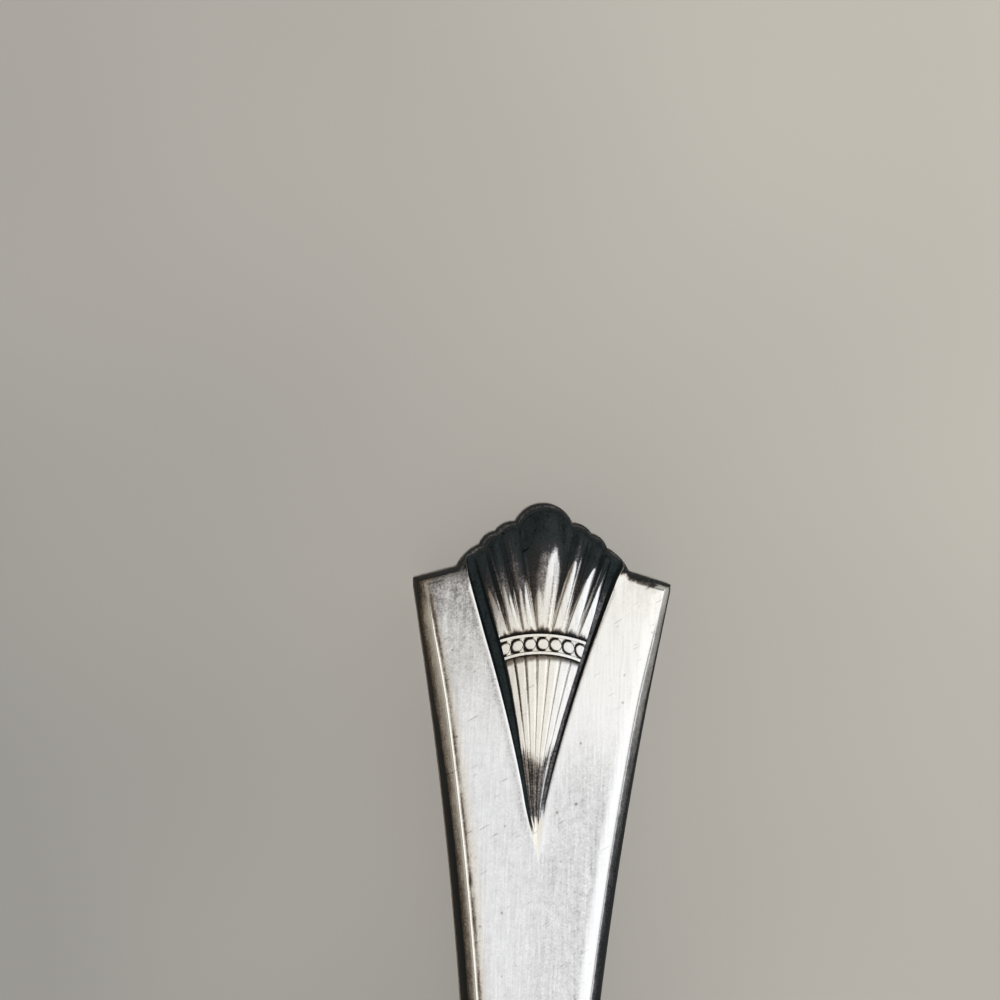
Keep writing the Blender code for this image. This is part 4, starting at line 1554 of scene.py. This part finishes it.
@dataclass(frozen=True)
class Mottled(Finish):
    """A dull, grainy finish, with one noise in its colour and its surface."""

    colours: tuple[str, str]
    places: Pair
    size: float
    detail: float
    bump: Pair

    def patterns(self, tree: Tree, place: Socket) -> dict[str, Socket]:
        """Mottles the colour and the surface with one noise.

        Args:
            tree: the material's node tree.
            place: the coordinates that the patterns lie on.

        Returns:
            Each pattern by the shader socket that it feeds.
        """
        (scale,) = per_mm(self.size)
        noise = add_node(tree, "TexNoise", {"Vector": place, "Scale": scale, "Detail": self.detail})
        strength, distance = self.bump
        return {
            "Base Color": add_node(tree, "ValToRGB", (noise,), stops=list(zip(self.places, self.colours))),
            "Normal": add_node(tree, "Bump", {"Strength": strength, "Distance": distance, "Height": noise}),
        }


@dataclass(frozen=True)
class SilverSolder(Mottled):
    """Silver solder run into the seam and filed flush: a matt, slightly yellower grey line."""

    name: str = "silver_solder_filed"
    roughness: float = 0.45
    metallic: float = 1.0
    colours: tuple[str, str] = ("#4A443C", "#A29A8B")
    places: Pair = (0.35, 0.65)
    size: float = 0.25
    detail: float = 4.0
    bump: Pair = (0.3, 0.00003)


@dataclass(frozen=True)
class PitchCement(Mottled):
    """Brown pitch and brick-dust cement poured round the tang: dull, grainy and unevenly brown."""

    name: str = "pitch_cement_poured"
    roughness: float = 0.85
    metallic: float = 0.0
    colours: tuple[str, str] = ("#4A382B", "#7A6452")
    places: Pair = (0.3, 0.7)
    size: float = 0.5
    detail: float = 6.0
    bump: Pair = (0.5, 0.0001)


@dataclass(frozen=True)
class PaleFloor(Finish):
    """Matt painted board: a warm pale grey, softly clouded, with a painted light gradient that pales it to
    the upper right.
    """

    name: str = "painted_board_matt"
    roughness: float = 0.8
    metallic: float = 0.0
    colours: tuple[str, str] = ("#9E9C98", "#C9C5BC")
    cloud: float = 40.0
    fade: Pair = (106.0, 212.0)
    start: float = 0.15

    def patterns(self, tree: Tree, place: Socket) -> dict[str, Socket]:
        """Fades the colour along one direction, a painted light gradient, and clouds it with one broad noise.

        Args:
            tree: the material's node tree.
            place: the coordinates that the patterns lie on.

        Returns:
            Each pattern by the shader socket that it feeds.
        """
        (scale,) = per_mm(self.cloud)
        noise = add_node(tree, "TexNoise", {"Vector": place, "Scale": scale, "Detail": 1.0})
        # Painted light: the board brightens towards the upper right.
        lean = (*per_mm(*self.fade), 0.0)
        painted_light_slope = add_node(tree, "VectorMath", (place, lean), {"operation": "DOT_PRODUCT"}, out="Value")
        cloud = add_node(tree, "Math", (noise, 0.5, self.start - 0.25), SCALE_AND_ADD)
        level = add_node(tree, "Math", (painted_light_slope, cloud), CLAMPED_ADD)
        return {"Base Color": add_node(tree, "ValToRGB", (level,), stops=list(zip((0.0, 1.0), self.colours)))}


# Knife


@dataclass
class ButterKnife:
    """The knife's pieces, dressed and set on the frame."""

    form: HandleForm = field(default_factory=HandleForm)

    def __post_init__(self) -> None:
        """Finds the knife's frame and makes the finishes."""
        self.place = KnifeFrame.from_solids(self.form.fan_rise)
        finishes = (SilverPlate(), SilverSolder(), StainlessSteel(), PitchCement())
        self.silver, self.solder, self.steel, self.cement = (finish.build() for finish in finishes)

    def add(self, name: str, surface: Surface, material: bpy.types.Material, node: str, slot: str) -> None:
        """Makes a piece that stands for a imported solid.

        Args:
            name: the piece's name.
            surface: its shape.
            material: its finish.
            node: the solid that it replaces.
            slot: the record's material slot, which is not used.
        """
        piece = surface.as_piece(name, self.place)
        piece.data.materials.append(material)
        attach(piece, BODY)
        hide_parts(node)
        LOG.info("%s: %d faces", name, len(piece.data.polygons))

    def build(self) -> None:
        """Builds and dresses every piece."""
        shell = HandleShell(self.form)
        half = shell.surface()
        for face, surface in {Face.FRONT: half, Face.BACK: half.turned_over()}.items():
            side = face.name.lower()
            self.add(f"{side}_shell", surface, self.silver, f"handle_{side}_shell", "silver_plate")
        self.add("seam_line", SeamLine(shell).surface(), self.solder, "seam_solder", "solder")
        collar = MouthCollar(self.form).surface()
        self.add("mouth_collar", collar, self.silver, "mouth_ferrule", "silver_plate")
        self.add("forged_blade", ForgedBlade(self.form).surface(), self.steel, "blade", "stainless_steel")
        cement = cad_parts["tang_cement"]
        cement.data.materials.clear()
        cement.data.materials.append(self.cement)


# Studio


@dataclass(frozen=True)
class SoftBox:
    """A panel of even light, seen from the handle at an angle off the vertical. Sizes are metres."""

    name: str
    right_deg: float
    up_deg: float
    distance: float
    size: Pair
    radiance: float
    colour: str

    def build(self, target: Vector) -> None:
        """Hangs the panel so that it faces the target. Its power is radiance times pi times its area.

        Args:
            target: the point that the panel faces.
        """
        lamp = bpy.data.lights.new(self.name, "AREA")
        lamp.shape = "RECTANGLE"
        lamp.size, lamp.size_y = self.size
        lamp.energy = self.radiance * math.pi * self.size[0] * self.size[1]
        lamp.color = linear(self.colour)[:3]
        right, up = (math.tan(math.radians(angle)) for angle in (self.right_deg, self.up_deg))
        lean = Vector((right, up, 1.0)).normalized()
        panel = add_object(self.name, lamp)
        panel.location = target + lean * self.distance
        panel.rotation_euler = lean.to_track_quat("Z", "Y").to_euler()
        panel.visible_diffuse = False


PANELS = (
    SoftBox("key_panel", 18.0, -13.0, 0.60, (0.75, 0.61), 0.84, "#F4F8FF"),
    SoftBox("side_panel", 25.0, -8.0, 0.55, (0.28, 0.34), 0.28, "#FFFCF4"),
    SoftBox("edge_panel", 66.0, 0.0, 0.60, (0.40, 0.60), 0.55, "#EAF0FF"),
)


@dataclass(frozen=True)
class Studio:
    """Floor, lights and camera."""

    place: KnifeFrame
    target: Triple = (-3.50, 6.54, 3.2)
    camera_distance: float = 0.30
    camera_left_deg: float = 4.5
    camera_roll_deg: float = 1.61
    view_width: float = 72.9
    sensor: float = 36.0
    floor_side: float = 8.0
    floor_gap: float = 0.05
    room_left: str = "#726450"
    room_right: str = "#66686C"
    horizon: str = "#C4C4C2"
    sun_strength: float = 2.05
    sun_angle_deg: float = 3.0

    def aim(self) -> Vector:
        """The point that the camera looks at, in the model."""
        return Vector(self.place.place(np.array(self.target)))

    def build_camera(self) -> None:
        """Sets the camera over the knife, a little from the left and rolled so the handle leans right."""
        camera = bpy.data.cameras.new("camera")
        camera.sensor_width = self.sensor
        camera.lens = self.sensor * self.camera_distance / (self.view_width * MM)
        camera.clip_start = 0.01
        left, roll = math.radians(self.camera_left_deg), math.radians(self.camera_roll_deg)
        back = Vector((-math.sin(left), 0, math.cos(left)))
        level = Vector((math.cos(left), 0, math.sin(left)))
        north = Vector((0, 1, 0))
        right = level * math.cos(roll) + north * math.sin(roll)
        up = north * math.cos(roll) - level * math.sin(roll)
        eye = add_object("camera", camera)
        turn = Matrix((right, up, back)).transposed().to_4x4()
        eye.matrix_world = Matrix.Translation(self.aim() + back * self.camera_distance) @ turn
        bpy.context.scene.camera = eye

    def build_floor(self) -> None:
        """Lays the floor just under the knife."""
        half = self.floor_side / 2
        z = CAD_BOX[0].z - self.floor_gap * MM
        mesh = bpy.data.meshes.new("floor")
        corners = [(-half, -half, z), (half, -half, z), (half, half, z), (-half, half, z)]
        mesh.from_pydata(corners, [], [(0, 1, 2, 3)])
        mesh.materials.append(PaleFloor().build())
        floor = add_object("floor", mesh)

    def build_lights(self) -> None:
        """Soft panels over the lower right and the right edge, and an even fill on the floor."""
        for panel in PANELS:
            panel.build(self.aim())
        sun = bpy.data.lights.new("fill", "SUN")
        sun.energy = self.sun_strength
        sun.angle = math.radians(self.sun_angle_deg)
        fill = add_object("fill", sun)
        fill.rotation_euler = (0, -math.radians(self.camera_left_deg), 0)
        fill.visible_glossy = False

    def build_room(self) -> None:
        """A dim room, brown on the left and grey on the right, that pales down to the horizon."""
        world = bpy.data.worlds.new("room")
        world.use_nodes = True
        tree = world.node_tree
        way = add_node(tree, "SeparateXYZ", (add_node(tree, "TexCoord", out="Generated"),)).node.outputs
        across = add_node(tree, "MapRange", (way["X"], -0.5, 0.5))
        tones = [(0.0, self.room_left), (1.0, self.room_right)]
        walls = add_node(tree, "ValToRGB", (across,), stops=tones)
        low = add_node(tree, "MapRange", (way["Z"], 0.75, 0.42))
        room = add_node(tree, "Mix", {0: low, 6: walls, 7: linear(self.horizon)}, COLOUR_MIX, out=2)
        tree.links.new(room, tree.nodes["Background"].inputs["Color"])
        bpy.context.scene.world = world

    def build(self) -> None:
        """Builds the whole studio and sets a plain view transform."""
        self.build_camera()
        self.build_floor()
        self.build_lights()
        self.build_room()
        bpy.context.scene.view_settings.view_transform = "Standard"


def main() -> None:
    """Builds the knife and the studio."""
    logging.basicConfig(level=logging.INFO)
    knife = ButterKnife()
    knife.build()
    Studio(knife.place).build()


if __name__ == "__main__":
    main()
